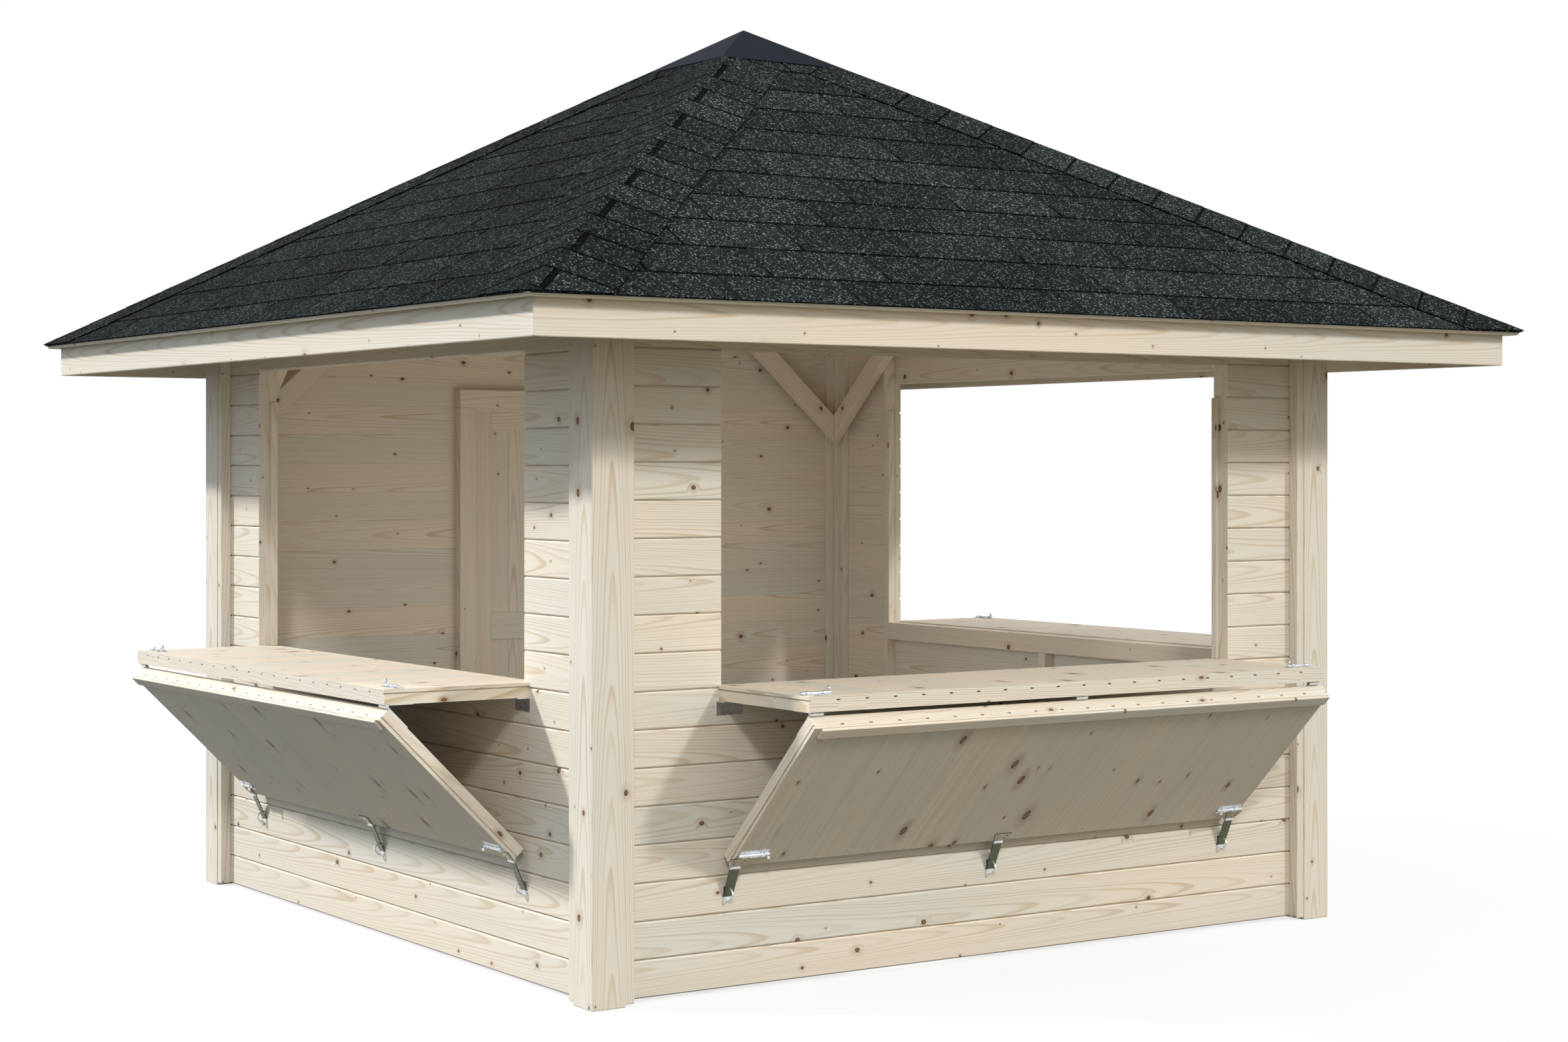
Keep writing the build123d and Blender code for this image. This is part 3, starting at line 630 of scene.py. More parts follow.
def zinc_plate(name):
    """Zinc plated steel: bright and slightly mottled by its flakes."""
    zinc = bpy.context.scene.stall_fittings.zinc_plate
    return sheet(name, spots=[0.006] * 3, detail=None, dark=0.85 * zinc, pale=zinc, rough=(0.26, 0.42),
                 Metallic=1.0)


def rolled_steel(name):
    """Rolled steel strap or plate: smooth, with faint upright streaks, and a dim olive colour that is a
    painted reflection of a green ground.
    """
    steel = getattr(bpy.context.scene.stall_fittings, name)
    return sheet(name, spots=(0.002, 0.002, 0.03), detail=2.0, dark=0.8 * steel, pale=steel,
                 rough=(0.2, 0.34), Metallic=1.0)


# Finishes. Spruce comes by the cut of the timber, with its own knots and lines where they aren't the usual.
MAKERS = {
    "spruce_boards": partial(planed_spruce, grain=board_grain),
    "spruce_hatches": partial(
        planed_spruce, grain=board_grain, knot_length=2.0, knot_growth=1.4, contrast=1.4, crowding=1.3),
    "spruce_uprights": partial(planed_spruce, grain=upright_grain, knot_growth=1.3),
    "spruce_rails": partial(planed_spruce, grain=rail_grain, knot_length=1.0, knot_growth=1.5),
    "spruce_braces": partial(planed_spruce, grain=brace_grain),
    "bitumen_shingle": bitumen_shingle,
    "roofing_felt": roofing_felt,
    "painted_steel": painted_steel,
    "zinc_plate": zinc_plate,
    "strap_steel": rolled_steel,
    "dull_zinc": rolled_steel,
}


def finish_of(name):
    """A material by its name, made when it is first asked for."""
    return bpy.data.materials.get(name) or MAKERS[name](name)


def wall_bars(phase, hole_start, hole_end, hole_low, hole_top):
    """Boards of one wall round its opening: start, end, lower edge, upper edge and board of each bar. Boards
    beside the opening are cut at its sides, and the boards at its edges are also ripped over its width."""
    cover = bpy.context.scene.stall_boards.cover
    roof_low = EAVE[1] + (EAVE[0] - BOARD_OUTER) * NORMAL[0] / NORMAL[1]
    lows = np.arange(phase, roof_low, cover)
    rows = []
    for course, low in enumerate(np.maximum(lows, GROUND_GAP)):
        high = min(lows[course] + cover, roof_low)
        if high <= hole_low or low >= hole_top:
            rows.append((-POST_INNER, POST_INNER, low, high, 2 * course))
            continue
        rows.append((-POST_INNER, hole_start, low, high, 2 * course))
        whole = low < hole_low or high > hole_top
        rows.append((hole_end, POST_INNER, low, high, 2 * course + (not whole)))
        if low < hole_low:
            rows.append((hole_start, hole_end, low, hole_low, 2 * course))
        if high > hole_top:
            rows.append((hole_start, hole_end, hole_top, high, 2 * course))
    return [np.array(column) for column in zip(*rows)]


def board_rings(low, high):
    """Section of wall boards: a bevel on each edge, and a narrow joint to the next board on the outside."""
    sizes = bpy.context.scene.stall_boards
    shoulder, gap = BOARD_OUTER - sizes.slot_depth, sizes.slot / 2
    bevel, eased = sizes.bevel, sizes.inner_bevel
    return rings(
        (BOARD_INNER, low + eased), (BOARD_INNER + eased, low), (shoulder, low),
        (shoulder, low + gap), (BOARD_OUTER - bevel, low + gap), (BOARD_OUTER, low + gap + bevel),
        (BOARD_OUTER, high - gap - bevel), (BOARD_OUTER - bevel, high - gap), (shoulder, high - gap),
        (shoulder, high), (BOARD_INNER + eased, high), (BOARD_INNER, high - eased),
    )


class STALL_OT_walls(bpy.types.Operator):
    """Board the four walls round the serving openings and the door"""

    bl_idname = "stall.walls"
    bl_label = "Wall boards"

    def execute(self, context):
        sizes, timber = context.scene.stall_boards, context.scene.stall_timber
        pith = (-timber.pith_side, timber.pith_side), behind(timber.pith_depth)
        for seed, (side, turn) in enumerate(SIDES.items()):
            opening, stood_for = (-FRAME_HALF, FRAME_HALF, 0, FRAME_TOP), "back_wall"
            if side in HATCH_SIDES:
                opening, stood_for = (*OPENINGS[side], OPENING_LOW, OPENING_TOP), f"{side}_wall"
            phase = sizes.front_phase if side in ("front", "back") else sizes.side_phase
            start, end, low, high, board = wall_bars(phase, *opening)
            distance, height = board_rings(low, high)
            shape = bars(*(on_wall(turn, place[:, None], distance, height) for place in (start, end)))
            grain = grain_map(shape, wall_axes(turn)[0], UP, board, seed, *pith)
            nodes = [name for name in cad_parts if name.startswith(stood_for)]
            piece(f"{side}_wall_boards", shape, "spruce_boards", "wall_boards", replaces=nodes, **grain)
        return {"FINISHED"}


class STALL_OT_timbers(bpy.types.Operator):
    """Finish the posts, battens, beams, studs, braces, rafters and fascias of the frame"""

    bl_idname = "stall.timbers"
    bl_label = "Frame timbers"

    ENDINGS = {
        "spruce_uprights": ("_post", "battens", "studs", "stops", "king_block", "door_jambs", "door_stiles"),
        "spruce_rails": (
            "_beams", "sill_rails", "fascias", "hip_rafters", "cover_strips", "door_head", "door_rails"),
        "spruce_braces": ("_braces",),
    }

    def execute(self, context):
        for finish, endings in self.ENDINGS.items():
            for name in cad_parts:
                if name.endswith(endings):
                    dress(name, finish, context.scene.stall_timber.eased_edge)
        return {"FINISHED"}


# Darkest and palest tabs of each slope. The spread within a slope is the tabs' own tone, and the lower ranges
# away from the front are painted shade, deepest on the slope to the left.
SLOPE_TONES_AND_SHADE = {0: (0.48, 0.95), 90: (0.45, 0.85), 180: (0.45, 0.85), 270: (0.26, 0.48)}


def tabs(turn, roof, draws):
    """Shingle tabs of one slope: courses up the slope, slits staggered from course to course, each tab a thin
    plate that lies on the tail of the one below, cut off along the hips. Also each corner's tone, with the
    painted shade of its slope, and how far it is below the next course, which places the painted shade line."""
    edges = np.arange(roof.first_course - roof.exposure, CAP_RISE + roof.tuck, roof.exposure)
    count = np.ceil(2 * EAVE[0] / roof.tab)
    shift = -roof.tab_phase - np.arange(len(edges)) % 2 * roof.stagger * roof.tab
    start = (shift[:, None] + roof.tab * np.arange(-count, count)).ravel()
    edge = np.repeat(edges, len(start) // len(edges))
    low = np.maximum(edge, -roof.lip)
    high = np.minimum(edge + roof.exposure + roof.tuck, SLOPE_LENGTH - roof.tuck)
    left, right = start + roof.slit / 2, start + roof.tab - roof.slit / 2
    reach = roof_section(low, ROOF_BOARD)[0]
    kept = (left < reach - roof.slit) & (right > -reach + roof.slit)
    low, high, left, right = (values[kept] for values in (low, high, left, right))
    rise, place = rings((low, left), (low, right), (high, right), (high, left))
    reach = roof_section(rise, ROOF_BOARD)[0]
    place = np.clip(place, -reach, reach)
    butt = ROOF_BOARD + roof.layer - roof.sheet
    lift = butt - roof.sheet * np.array([0, 0, 1, 1])
    shape = bars(on_slope(turn, rise, place, lift), on_slope(turn, rise, place, lift + roof.sheet))
    showing = np.tile(high[:, None] - roof.tuck - rise, 2).ravel()
    return shape, np.repeat(draws.uniform(*SLOPE_TONES_AND_SHADE[turn], len(low)), 2 * rise.shape[1]), showing


def hip_pieces(turn, hand, roof, draws):
    """Halves of the hip pieces on one slope: rectangles square to the hip, lapped up the hip, cut off along
    the eave, with a slit in every second one on the left side. Also tones and lengths as the tabs have."""
    edges = np.concatenate([[-roof.lip], np.arange(roof.hip_first, CAP_RISE + roof.tuck, roof.hip_step)])
    slit_end = roof.hip_slit_start + roof.hip_slit_width
    spans = []
    for number, (low, high) in enumerate(zip(edges, edges[1:])):
        parts = [(0.0, roof.hip_width)]
        if hand < 0 and number % 2:
            parts = [(0.0, roof.hip_slit_start), (slit_end, roof.hip_width)]
        spans += [(low, high, *part, number) for part in parts]
    low, covered, inner, outer, number = np.array(spans).T
    # Each piece runs on under the whole of the next one, but not past the cap's edge
    high = np.minimum(covered + roof.hip_step, CAP_RISE + 2 * roof.tuck)
    square = np.array([NORMAL[1], 1.0]) / np.hypot(NORMAL[1], 1.0)
    low_room, high_room = (low + roof.lip) / square[0], (high + roof.lip) / square[0]
    corner = np.clip(-roof.lip + outer * square[0], low, high)
    hip_rise, aside = rings(
        (low, np.minimum(inner, low_room)), (low, np.minimum(outer, low_room)),
        (corner, np.minimum(outer, high_room)), (high, np.minimum(outer, high_room)),
        (high, np.minimum(inner, high_room)),
    )
    butt = ROOF_BOARD + 2 * roof.layer - roof.sheet
    lift = butt - roof.sheet * (hip_rise - low[:, None]) / (high - low)[:, None]
    rise = hip_rise - aside * square[0]

    def surface(lifted):
        place = hand * (roof_section(hip_rise, lifted)[0] - aside * square[1])
        return on_slope(turn, rise, place, lifted)

    shape = bars(surface(lift), surface(lift + roof.sheet))
    tones = draws.uniform(*SLOPE_TONES_AND_SHADE[turn], len(edges))[number.astype(int)]
    # The last piece is under the cap only at the hip, so the rest of it shows
    bare = np.where(number == number.max(), roof.hip_step, 0.0)
    showing = np.tile((covered + bare)[:, None] - hip_rise, 2).ravel()
    return shape, np.repeat(tones, 2 * rise.shape[1]), showing


class STALL_OT_roof(bpy.types.Operator):
    """Lay the roof boards, the felt, the shingles and the hip pieces, and paint the cap"""

    bl_idname = "stall.roof"
    bl_label = "Roof"

    TONE_SEED = 11
    PLANK_SEED = 20

    def execute(self, context):
        roof = context.scene.stall_roof
        draws = np.random.default_rng(self.TONE_SEED)
        laid, hips, felts = [], [], []
        for number, (side, turn) in enumerate(SIDES.items()):
            self.lay_boards(side, turn, self.PLANK_SEED + number, context.scene.stall_boards)
            laid.append(tabs(turn, roof, draws))
            hips += [hip_pieces(turn, hand, roof, draws) for hand in (-1, 1)]
            rise, place = rings((-roof.lip, -EAVE[0]), (-roof.lip, EAVE[0]), (SLOPE_LENGTH, 0.0))
            lifts = (ROOF_BOARD, ROOF_BOARD + roof.felt)
            felts.append(bars(*(on_slope(turn, rise[None], place[None], lift) for lift in lifts)))
        pieces = {"shingle_tabs": (laid, "roof_shingles"), "hip_shingles": (hips, "hip_strips")}
        for name, (parts, stood_for) in pieces.items():
            shapes, tones, showing = zip(*parts)
            piece(name, joined(*shapes), "bitumen_shingle", "bitumen_shingles", replaces=[stood_for],
                  tone=np.concatenate(tones), showing=np.concatenate(showing))
        # The nearly black felt shows in the slits and stands in partly for their shade
        piece("shingle_felt", joined(*felts), "roofing_felt", "bitumen_shingles")
        dress("metal_cap", "painted_steel", roof.sheet / 2)
        return {"FINISHED"}

    def lay_boards(self, side, turn, seed, sizes):
        """Boards parallel to the eave, bevelled on the underside and mitred at the hips."""
        cover, bevel = sizes.roof_cover, sizes.bevel
        low = np.arange(0, SLOPE_LENGTH - cover, cover)
        high = low + cover
        rise, lift = rings(
            (low, ROOF_BOARD), (low, bevel), (low + bevel, 0.0),
            (high - bevel, 0.0), (high, bevel), (high, ROOF_BOARD),
        )
        distance, height = roof_section(rise, lift)
        shape = bars(*(on_wall(turn, place, distance, height) for place in (-distance, distance)))
        along, out = wall_axes(turn)
        uphill = out * UPHILL[0] + UP * UPHILL[1]
        grain = grain_map(shape, along, uphill, np.arange(len(low)), seed, (-cover, cover), behind(cover))
        piece(f"{side}_roof_planks", shape, "spruce_boards", "roof_timber",
              replaces=[f"{side}_roof_boards"], **grain)


def tongued_rings(start, end, low, face, sizes):
    """Section of tongued boards: a groove in both edges near the face, and a hairline joint above it."""
    shoulder = face - sizes.hatch_face
    groove = shoulder - sizes.hatch_groove
    depth, hair = sizes.hatch_groove_depth, sizes.hatch_joint
    return rings(
        (start, low), (end, low), (end, groove), (end - depth, groove), (end - depth, shoulder),
        (end - hair, shoulder), (end - hair, face), (start + hair, face), (start + hair, shoulder),
        (start + depth, shoulder), (start + depth, groove), (start, groove),
    )


def board_edges(start, end, cover):
    """Even board edges between two ends, about a cover apart."""
    edges = np.linspace(start, end, round((end - start) / cover) + 1)
    return edges[:-1], edges[1:]


class HatchLeaf:
    """Own axes of a counter or a flap, read from its node: its ends along the wall, its inner edge, and from
    there its length down or out to the free edge and its thickness to its face."""

    def __init__(self, side, kind):
        self.turn = SIDES[side]
        along, outward = wall_axes(self.turn)
        points = node_points(f"{side}_{kind}")
        places = points @ along
        self.start, self.end = places.min(), places.max()
        section = np.stack([points @ outward, points[:, 2]], axis=-1)
        (near, low), (far, high) = section.min(axis=0), section.max(axis=0)
        edge, free, face = np.array([(near, low), (far, low), (near, high)])
        if kind == "flap":
            corners = [section[:, 1].argmax(), section[:, 0].argmin(), section[:, 0].argmax()]
            edge, free, face = section[corners]
        plane = np.stack([outward, UP])
        self.edge = edge @ plane
        self.length, self.thick = np.linalg.norm(free - edge), np.linalg.norm(face - edge)
        self.axes = np.stack([along, (free - edge) / self.length @ plane, (face - edge) / self.thick @ plane])

    def points(self, place, down, out):
        """Points at a place along the wall, a way down from the inner edge, and a way out to the face."""
        return self.edge + np.stack(np.broadcast_arrays(place, down, out), axis=-1) @ self.axes


class STALL_OT_hatches(bpy.types.Operator):
    """Board the counters and the flaps"""

    bl_idname = "stall.hatches"
    bl_label = "Hatches"

    SEEDS = {"counter": 30, "flap": 40}

    def execute(self, context):
        sizes = context.scene.stall_boards
        cover = sizes.hatch_cover
        # Edge sawn boards, whose pith is far to one side, so that their lines are straight
        pith = (1.5 * cover, 3 * cover), behind(cover)
        for number, side in enumerate(HATCH_SIDES):
            for kind, seed in self.SEEDS.items():
                leaf = HatchLeaf(side, kind)
                start, end = board_edges(leaf.start, leaf.end, cover)
                place, depth = tongued_rings(start, end, 0.0, leaf.thick, sizes)
                shape = bars(*(leaf.points(place, down, depth) for down in (0.0, leaf.length)))
                along, down = leaf.axes[:2]
                grain = grain_map(shape, down, along, np.arange(len(start)), seed + number, *pith)
                piece(f"{side}_{kind}_boards", shape, "spruce_hatches", "hatch_timber",
                      replaces=[f"{side}_{kind}"], **grain)
        return {"FINISHED"}


class STALL_OT_fittings(bpy.types.Operator):
    """Finish the hinges, hasps and bolts of the hatches"""

    bl_idname = "stall.fittings"
    bl_label = "Hatch fittings"

    NODES = {"hatch_hinges": "zinc_plate", "counter_hinges": "zinc_plate", "hatch_bolts": "zinc_plate",
             "hatch_hasps": "strap_steel"}
    BOLT_PIECES = {"bolt_guides": "zinc_plate", "bolt_knobs": "zinc_plate"}
    HASP_PIECES = {"hasp_plates": "dull_zinc", "hasp_screws": "strap_steel", "hasp_knuckles": "zinc_plate",
                   "hasp_staples": "zinc_plate", "staple_plates": "zinc_plate"}
    PIECES = BOLT_PIECES | HASP_PIECES
    # Angles at which the ball of a knob starts and ends, and its stem's radius as a share of the ball's
    BALL = (-0.9, 1.45)
    STEM = 0.55
    # Screws across a plate as shares of its flare, and down it of its length, and a head's angle and height
    SCREWS_ACROSS = np.array([-0.28, 0.28, -0.2, 0.2])
    SCREWS_DOWN = np.array([0.75, 0.75, 0.4, 0.4])
    HEAD = (1.2, 0.4)
    # Half the length of a knuckle to the strap's width, and width of a staple's plate to its height
    KNUCKLE_HALF = 0.52
    STAPLE_PLATE_WIDTH = 0.6
    # Sides of round pieces, and steps along the curves of a guide, a knob's ball, a screw's head and a staple
    KNOB_SIDES, SCREW_SIDES, KNUCKLE_SIDES, WIRE_SIDES = 14, 10, 16, 10
    ARCH_STEPS, BALL_STEPS, HEAD_STEPS, BEND_STEPS = 9, 8, 4, 17

    def execute(self, context):
        sizes = context.scene.stall_fittings
        for name, finish in self.NODES.items():
            dress(name, finish)
        made = {name: [] for name in self.PIECES}
        for side in HATCH_SIDES:
            counter, flap = HatchLeaf(side, "counter"), HatchLeaf(side, "flap")
            for leaf, hand in product((counter, flap), (-1, 1)):
                place = (leaf.end if hand > 0 else leaf.start) - hand * sizes.bolt_end_inset
                origin = leaf.points(place, leaf.length - sizes.bolt_edge_inset, leaf.thick)
                along = leaf.axes[0]
                made["bolt_guides"] += [self.guide(origin + step * along, leaf.axes, sizes)
                                        for step in (-sizes.guide_place, sizes.guide_place)]
                grip = origin - hand * along * sizes.knob_place
                made["bolt_knobs"].append(self.knob(grip, leaf.axes, sizes))
            middle = (flap.start + flap.end) / 2
            for place in (flap.start + sizes.hasp_end_inset, middle, flap.end - sizes.hasp_end_inset):
                for name in self.HASP_PIECES:
                    made[name].append(getattr(self, name)(flap, place, sizes))
        for name, shapes in made.items():
            piece(name, joined(*shapes), self.PIECES[name], "zinc_hardware")
        return {"FINISHED"}

    def guide(self, origin, axes, sizes):
        """Guide of a bolt: a strap with two feet and a half round over the rod, carried along the rod."""
        outer, edge = sizes.bolt_rod + sizes.guide_thick, 2 * sizes.guide_thick
        angle = np.linspace(0, np.pi, self.ARCH_STEPS)
        foot = outer + sizes.guide_foot
        side = np.concatenate([[foot, foot], outer * np.cos(angle), [-foot, -foot]])
        lift = np.concatenate([[0, edge], outer * np.sin(angle) + sizes.bolt_rod, [edge, 0]])
        ring = origin + side[:, None] * axes[1] + lift[:, None] * axes[2]
        half = axes[0] * sizes.guide_width / 2
        return bars((ring - half)[None], (ring + half)[None])

    def knob(self, origin, axes, sizes):
        """Knob of a bolt: a slim stem that swells to a ball, turned about its own axis."""
        angle = np.linspace(*self.BALL, self.BALL_STEPS)
        ball = np.stack([np.cos(angle), np.sin(angle) - 1], axis=-1) * sizes.knob_radius
        stem = np.array([[self.STEM * sizes.knob_radius, sizes.bolt_rod - sizes.knob_height]])
        profile = np.concatenate([stem, ball]) + (0, sizes.knob_height + sizes.bolt_rod)
        return lathe(profile, origin[None], axes, self.KNOB_SIDES)

    def hasp_plates(self, flap, place, sizes):
        """Plate of a hasp: a trapezium on the flap, wide at its upper edge."""
        low, high = flap.length, flap.length - sizes.hasp_grip
        half, flare = sizes.hasp_width / 2, sizes.hasp_flare / 2
        across, down = rings((-half, low), (half, low), (flare, high), (-flare, high))
        faces = (flap.thick, flap.thick + sizes.hasp_plate)
        return bars(*(flap.points(place + across[None], down[None], face) for face in faces))

    def hasp_screws(self, flap, place, sizes):
        """Screws of a hasp: four low round heads on the plate, two by two."""
        across = place + sizes.hasp_flare * self.SCREWS_ACROSS
        down = flap.length - sizes.hasp_grip * self.SCREWS_DOWN
        angle = np.linspace(0, self.HEAD[0], self.HEAD_STEPS)
        dome = np.stack([np.cos(angle), self.HEAD[1] * np.sin(angle)], axis=-1) * sizes.screw_radius
        origins = flap.points(across, down, flap.thick + sizes.hasp_plate)
        return lathe(dome, origins, flap.axes, self.SCREW_SIDES)

    def hasp_knuckles(self, flap, place, sizes):
        """Knuckle of a hasp: a round roller just past the edge of the flap, with eased ends."""
        half, radius, ease = self.KNUCKLE_HALF * sizes.hasp_width, sizes.hasp_knuckle, sizes.guide_thick / 2
        radii = (radius - ease, radius, radius, radius - ease)
        profile = np.stack([radii, (-half, ease - half, half - ease, half)], axis=-1)
        origin = flap.points(place, flap.length + sizes.hasp_roll, flap.thick + sizes.hasp_plate / 3)
        return lathe(profile, origin[None], flap.axes[::-1], self.KNUCKLE_SIDES)

    def hasp_staples(self, flap, place, sizes):
        """Staple of a hasp: a round wire bent to a half ring that stands off the wall."""
        bend = np.linspace(0, np.pi, self.BEND_STEPS)[:, None]
        angle = np.linspace(0, 2 * np.pi, self.WIRE_SIDES, endpoint=False)
        width, depth = sizes.staple_wire * np.cos(angle), sizes.staple_wire * np.sin(angle)
        height = sizes.staple_level + (sizes.staple_radius + depth) * np.cos(bend)
        distance = BOARD_OUTER + (sizes.staple_reach - sizes.staple_wire + depth) * np.sin(bend)
        return tubes(on_wall(flap.turn, place + width, distance, height)[None])

    def staple_plates(self, flap, place, sizes):
        """Plate behind a staple, flat on the wall."""
        half = sizes.staple_plate
        wide = self.STAPLE_PLATE_WIDTH * half
        low, high = sizes.staple_level - half, sizes.staple_level + half
        across, height = rings((-wide, low), (wide, low), (wide, high), (-wide, high))
        faces = (BOARD_OUTER, BOARD_OUTER + sizes.guide_thick / 2)
        return bars(*(on_wall(flap.turn, place + across[None], face, height[None]) for face in faces))


class STALL_OT_door(bpy.types.Operator):
    """Board the door's panels, finish its hardware and set the strips that it closes against"""

    bl_idname = "stall.door"
    bl_label = "Door"

    PANEL_SEED = 50

    def execute(self, context):
        sizes = context.scene.stall_boards
        points = node_points("door_panels")
        levels = distinct(points[:, 2])
        inner, outer = points[:, 1].min(), points[:, 1].max()
        cover, bevel, hair = sizes.panel_cover, sizes.bevel / 2, sizes.hatch_joint
        start, end = board_edges(points[:, 0].min(), points[:, 0].max(), cover)
        place, depth = rings(
            (start, inner + bevel), (start + bevel, inner), (end - bevel, inner), (end, inner + bevel),
            (end, outer - bevel), (end - bevel, outer), (start + bevel, outer), (start, outer - bevel),
        )
        place = np.clip(place, (start + hair)[:, None], (end - hair)[:, None])
        shapes = [self.uprights(place, depth, low, high) for low, high in zip(levels[::2], levels[1::2])]
        pith = (0.0, cover), behind(cover)
        across, boards = wall_axes(0)[0], np.arange(len(start))
        maps = [grain_map(shape, UP, across, boards, self.PANEL_SEED, *pith) for shape in shapes]
        grain = {key: np.concatenate([part[key] for part in maps]) for key in maps[0]}
        piece("door_panel_boards", joined(*shapes), "spruce_boards", "door_timber", body="door",
              replaces=["door_panels"], **grain)
        for name in ("door_straps", "door_pintles", "door_pull"):
            dress(name, "zinc_plate")
        piece("door_stops", self.stops(sizes), "spruce_uprights", "door_timber")
        return {"FINISHED"}

    def uprights(self, place, depth, low, high):
        """Upright bars of a section in plan, between two heights."""
        return bars(*(np.stack(np.broadcast_arrays(place, depth, level), axis=-1) for level in (low, high)))

    def stops(self, sizes):
        """Strips on the frame that the leaf closes against: upright bars at both jambs, and one between them
        under the head."""
        left, right = distinct(node_points("door_jambs")[:, 0])[1:3]
        head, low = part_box("door_head")[0].z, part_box("door_stiles")[0].z
        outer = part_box("door_stiles")[0].y - sizes.stop_gap
        inner, wide = outer - sizes.stop_depth, sizes.stop_width
        start, end = np.array([left, right - wide, left + wide]), np.array([left + wide, right, right - wide])
        place, depth = rings((start, inner), (end, inner), (end, outer), (start, outer))
        return self.uprights(place, depth, np.array([[low], [low], [head - wide]]), head)


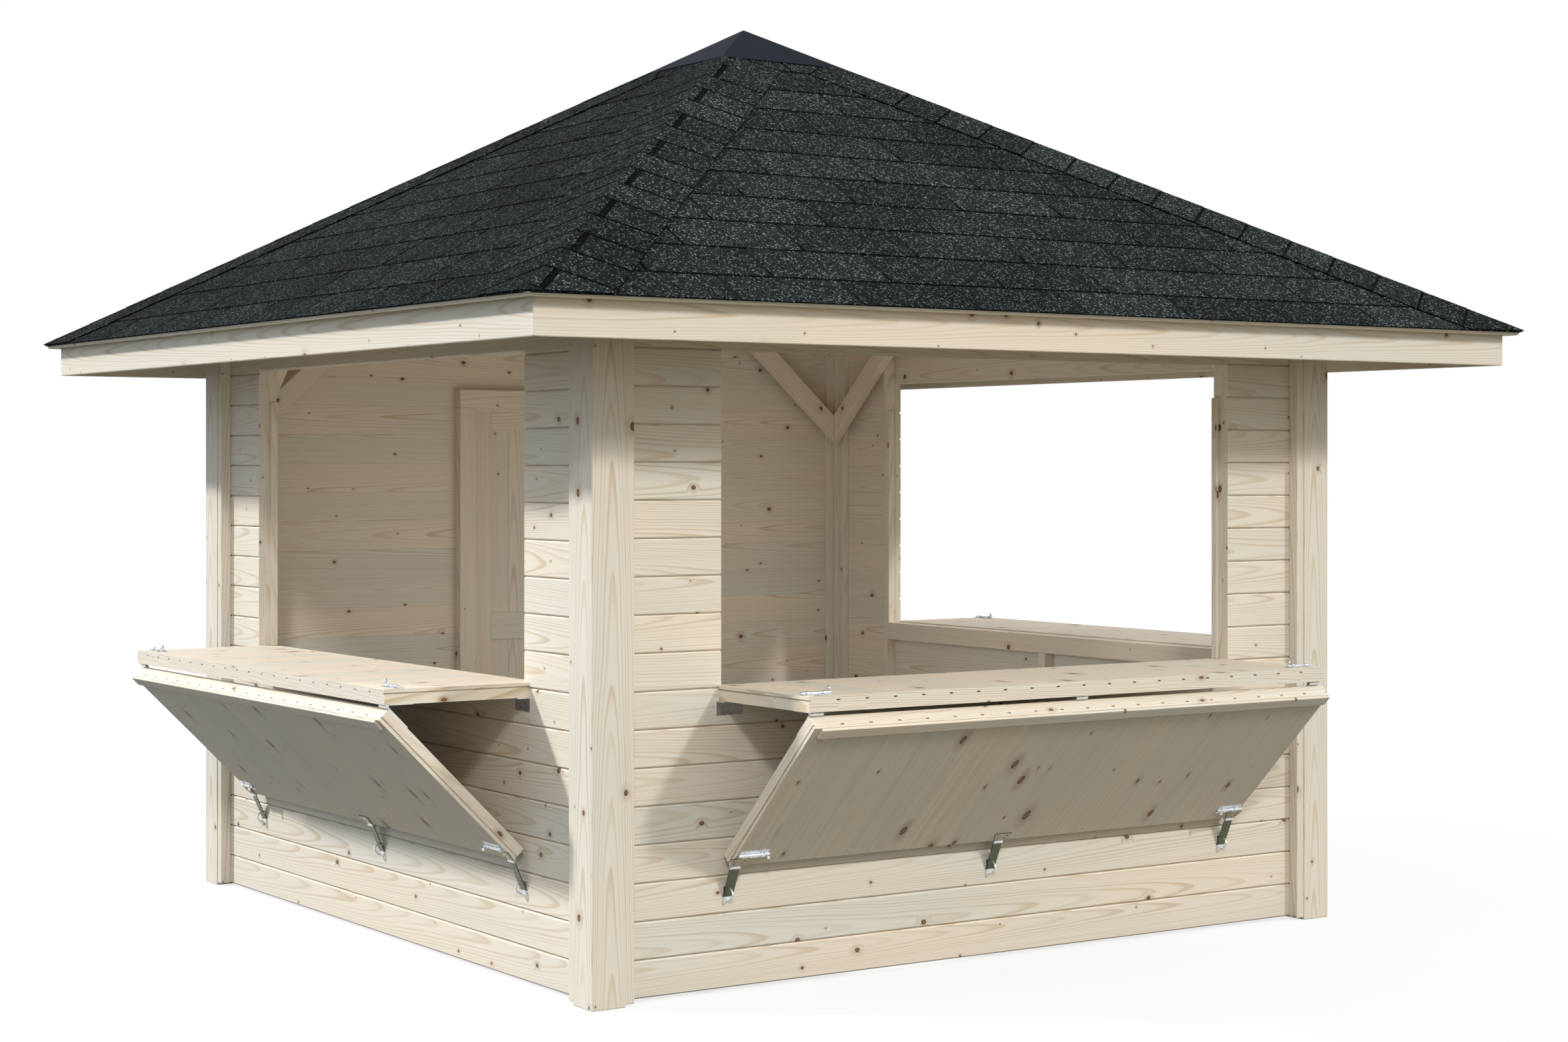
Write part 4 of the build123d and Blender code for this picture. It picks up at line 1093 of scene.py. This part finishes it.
class STALL_OT_stage(bpy.types.Operator):
    """Set the floor, the lights, the white surround and the camera"""

    bl_idname = "stall.stage"
    bl_label = "Stage"

    # Setting of the strength, direction of travel and spread in degrees of each distant light
    SUNS = {
        "key_light": ("key", (-0.393, 0.716, -0.577), 5.0),
        "side_light": ("side", (0.603, -0.486, -0.632), 4.0),
        "fill_light": ("fill", (0.438, 0.740, -0.511), 6.0),
    }
    ROOM_LIGHT = (0.0, 0.0, 1.05)
    ROOM_LIGHT_RADIUS = 0.6
    FLOOR_HALF = 60.0
    # Distances over which the light from the floor and from the sky changes round the front corner
    FLOOR_SPREAD = 2.0
    SKY_SPREAD = 0.8
    # Share of plain white in the floor that the eye sees, which keeps the shadow light
    FLOOR_WHITE = 0.75
    WHITE = (1.0, 1.0, 1.0)
    EYE = (-5.4126, -8.3591, 1.5979)
    LOOK = (0.5561, 0.8311, 0.0)
    LENS = 61.72
    SHIFT_Y = -0.0345

    def execute(self, context):
        scene, stage = context.scene, context.scene.stall_stage
        for name, (strength, travel, spread) in self.SUNS.items():
            lamp = bpy.data.lights.new(name, "SUN")
            lamp.energy = getattr(stage, strength)
            lamp.angle = np.radians(spread)
            self.placed(scene, lamp, look=travel)
        lamp = bpy.data.lights.new("room_light", "POINT")
        lamp.energy = stage.room
        lamp.shadow_soft_size = self.ROOM_LIGHT_RADIUS
        holder = self.placed(scene, lamp, self.ROOM_LIGHT)
        holder.visible_camera = holder.visible_glossy = False
        self.surround(scene, stage)
        self.floor(scene, stage)
        camera = bpy.data.cameras.new("camera")
        camera.lens, camera.shift_y = self.LENS, self.SHIFT_Y
        scene.camera = self.placed(scene, camera, self.EYE, self.LOOK)
        scene.view_settings.view_transform = "Standard"
        return {"FINISHED"}

    def placed(self, scene, data, place=(0, 0, 0), look=None):
        """An object of the stage at its place, turned to look along a direction where one is given."""
        holder = bpy.data.objects.new(data.name, data)
        holder.location = place
        if look:
            holder.rotation_mode = "QUATERNION"
            holder.rotation_quaternion = Vector(look).to_track_quat("-Z", "Y")
        scene.collection.objects.link(holder)
        return holder

    def seen(self, add):
        """1 for rays that show a surface to the eye, straight or in metal, and 0 for rays of light."""
        kinds = ("Is Camera Ray", "Is Glossy Ray", "Is Transmission Ray")
        straight, glossy, through = (add("LightPath", out=kind) for kind in kinds)
        return add("Math", add("Math", straight, glossy, operation="MAXIMUM"), through, operation="MAXIMUM")

    def across_the_corner(self, add, place, spread, left, front):
        """A colour that changes from the left side of the stall to its front, evenly over a spread."""
        x, y = add("SeparateXYZ", place, out=None)[:2]
        part = add("MapRange", add("Math", x, y, operation="SUBTRACT"), -spread, spread)
        return add("Mix", part, left, front, data_type="RGBA")

    def surround(self, scene, stage):
        """Even light all round, which shows as plain white."""
        world = bpy.data.worlds.new("surround")
        world.use_nodes = True
        world.node_tree.nodes.clear()
        add = partial(node, world.node_tree)
        direction = add("TexCoord", out="Generated")
        tint = self.across_the_corner(add, direction, self.SKY_SPREAD, stage.sky_left, stage.sky_front)
        light, white = add("Background", tint, stage.sky), add("Background", self.WHITE, 1.0)
        add("OutputWorld", add("MixShader", self.seen(add), light, white))
        scene.world = world

    def floor(self, scene, stage):
        """Pale matt floor that keeps a light shadow of the stall."""
        half = self.FLOOR_HALF
        mesh = bpy.data.meshes.new("floor")
        corners = [(-half, -half, 0), (half, -half, 0), (half, half, 0), (-half, half, 0)]
        mesh.from_pydata(corners, [], [range(4)])
        material, add = new_material("pale_floor")
        seen, place = self.seen(add), add("TexCoord", out="Object")
        dim = self.across_the_corner(add, place, self.FLOOR_SPREAD, stage.bounce_left, stage.bounce_front)
        matt = add("BsdfDiffuse", add("Mix", seen, dim, stage.floor, data_type="RGBA"))
        lightened = add("Math", seen, self.FLOOR_WHITE, operation="MULTIPLY")
        add("OutputMaterial", add("MixShader", lightened, matt, add("Emission", self.WHITE, 1.0)))
        mesh.materials.append(material)
        self.placed(scene, mesh)


OPERATORS = (
    STALL_OT_walls,
    STALL_OT_timbers,
    STALL_OT_roof,
    STALL_OT_hatches,
    STALL_OT_fittings,
    STALL_OT_door,
    STALL_OT_stage,
)


class STALL_PT_panel(bpy.types.Panel):
    """Lists the steps and sizes of the stall"""

    bl_idname = "STALL_PT_panel"
    bl_label = "Market stall"
    bl_space_type = "VIEW_3D"
    bl_region_type = "UI"
    bl_category = "Stall"

    def draw(self, context):
        for operator in OPERATORS:
            self.layout.operator(operator.bl_idname)
        for key, group in SETTINGS.items():
            box = self.layout.box()
            box.label(text=group.__doc__)
            for name in group.__annotations__:
                box.prop(getattr(context.scene, key), name)


CLASSES = (*SETTINGS.values(), *OPERATORS, STALL_PT_panel)


def register():
    for kind in CLASSES:
        bpy.utils.register_class(kind)
    for key, group in SETTINGS.items():
        setattr(bpy.types.Scene, key, PointerProperty(type=group))


def unregister():
    for key in SETTINGS:
        delattr(bpy.types.Scene, key)
    for kind in reversed(CLASSES):
        bpy.utils.unregister_class(kind)


def main():
    register()
    for operator in OPERATORS:
        group, name = operator.bl_idname.split(".")
        getattr(getattr(bpy.ops, group), name)()


if __name__ == "__main__":
    main()
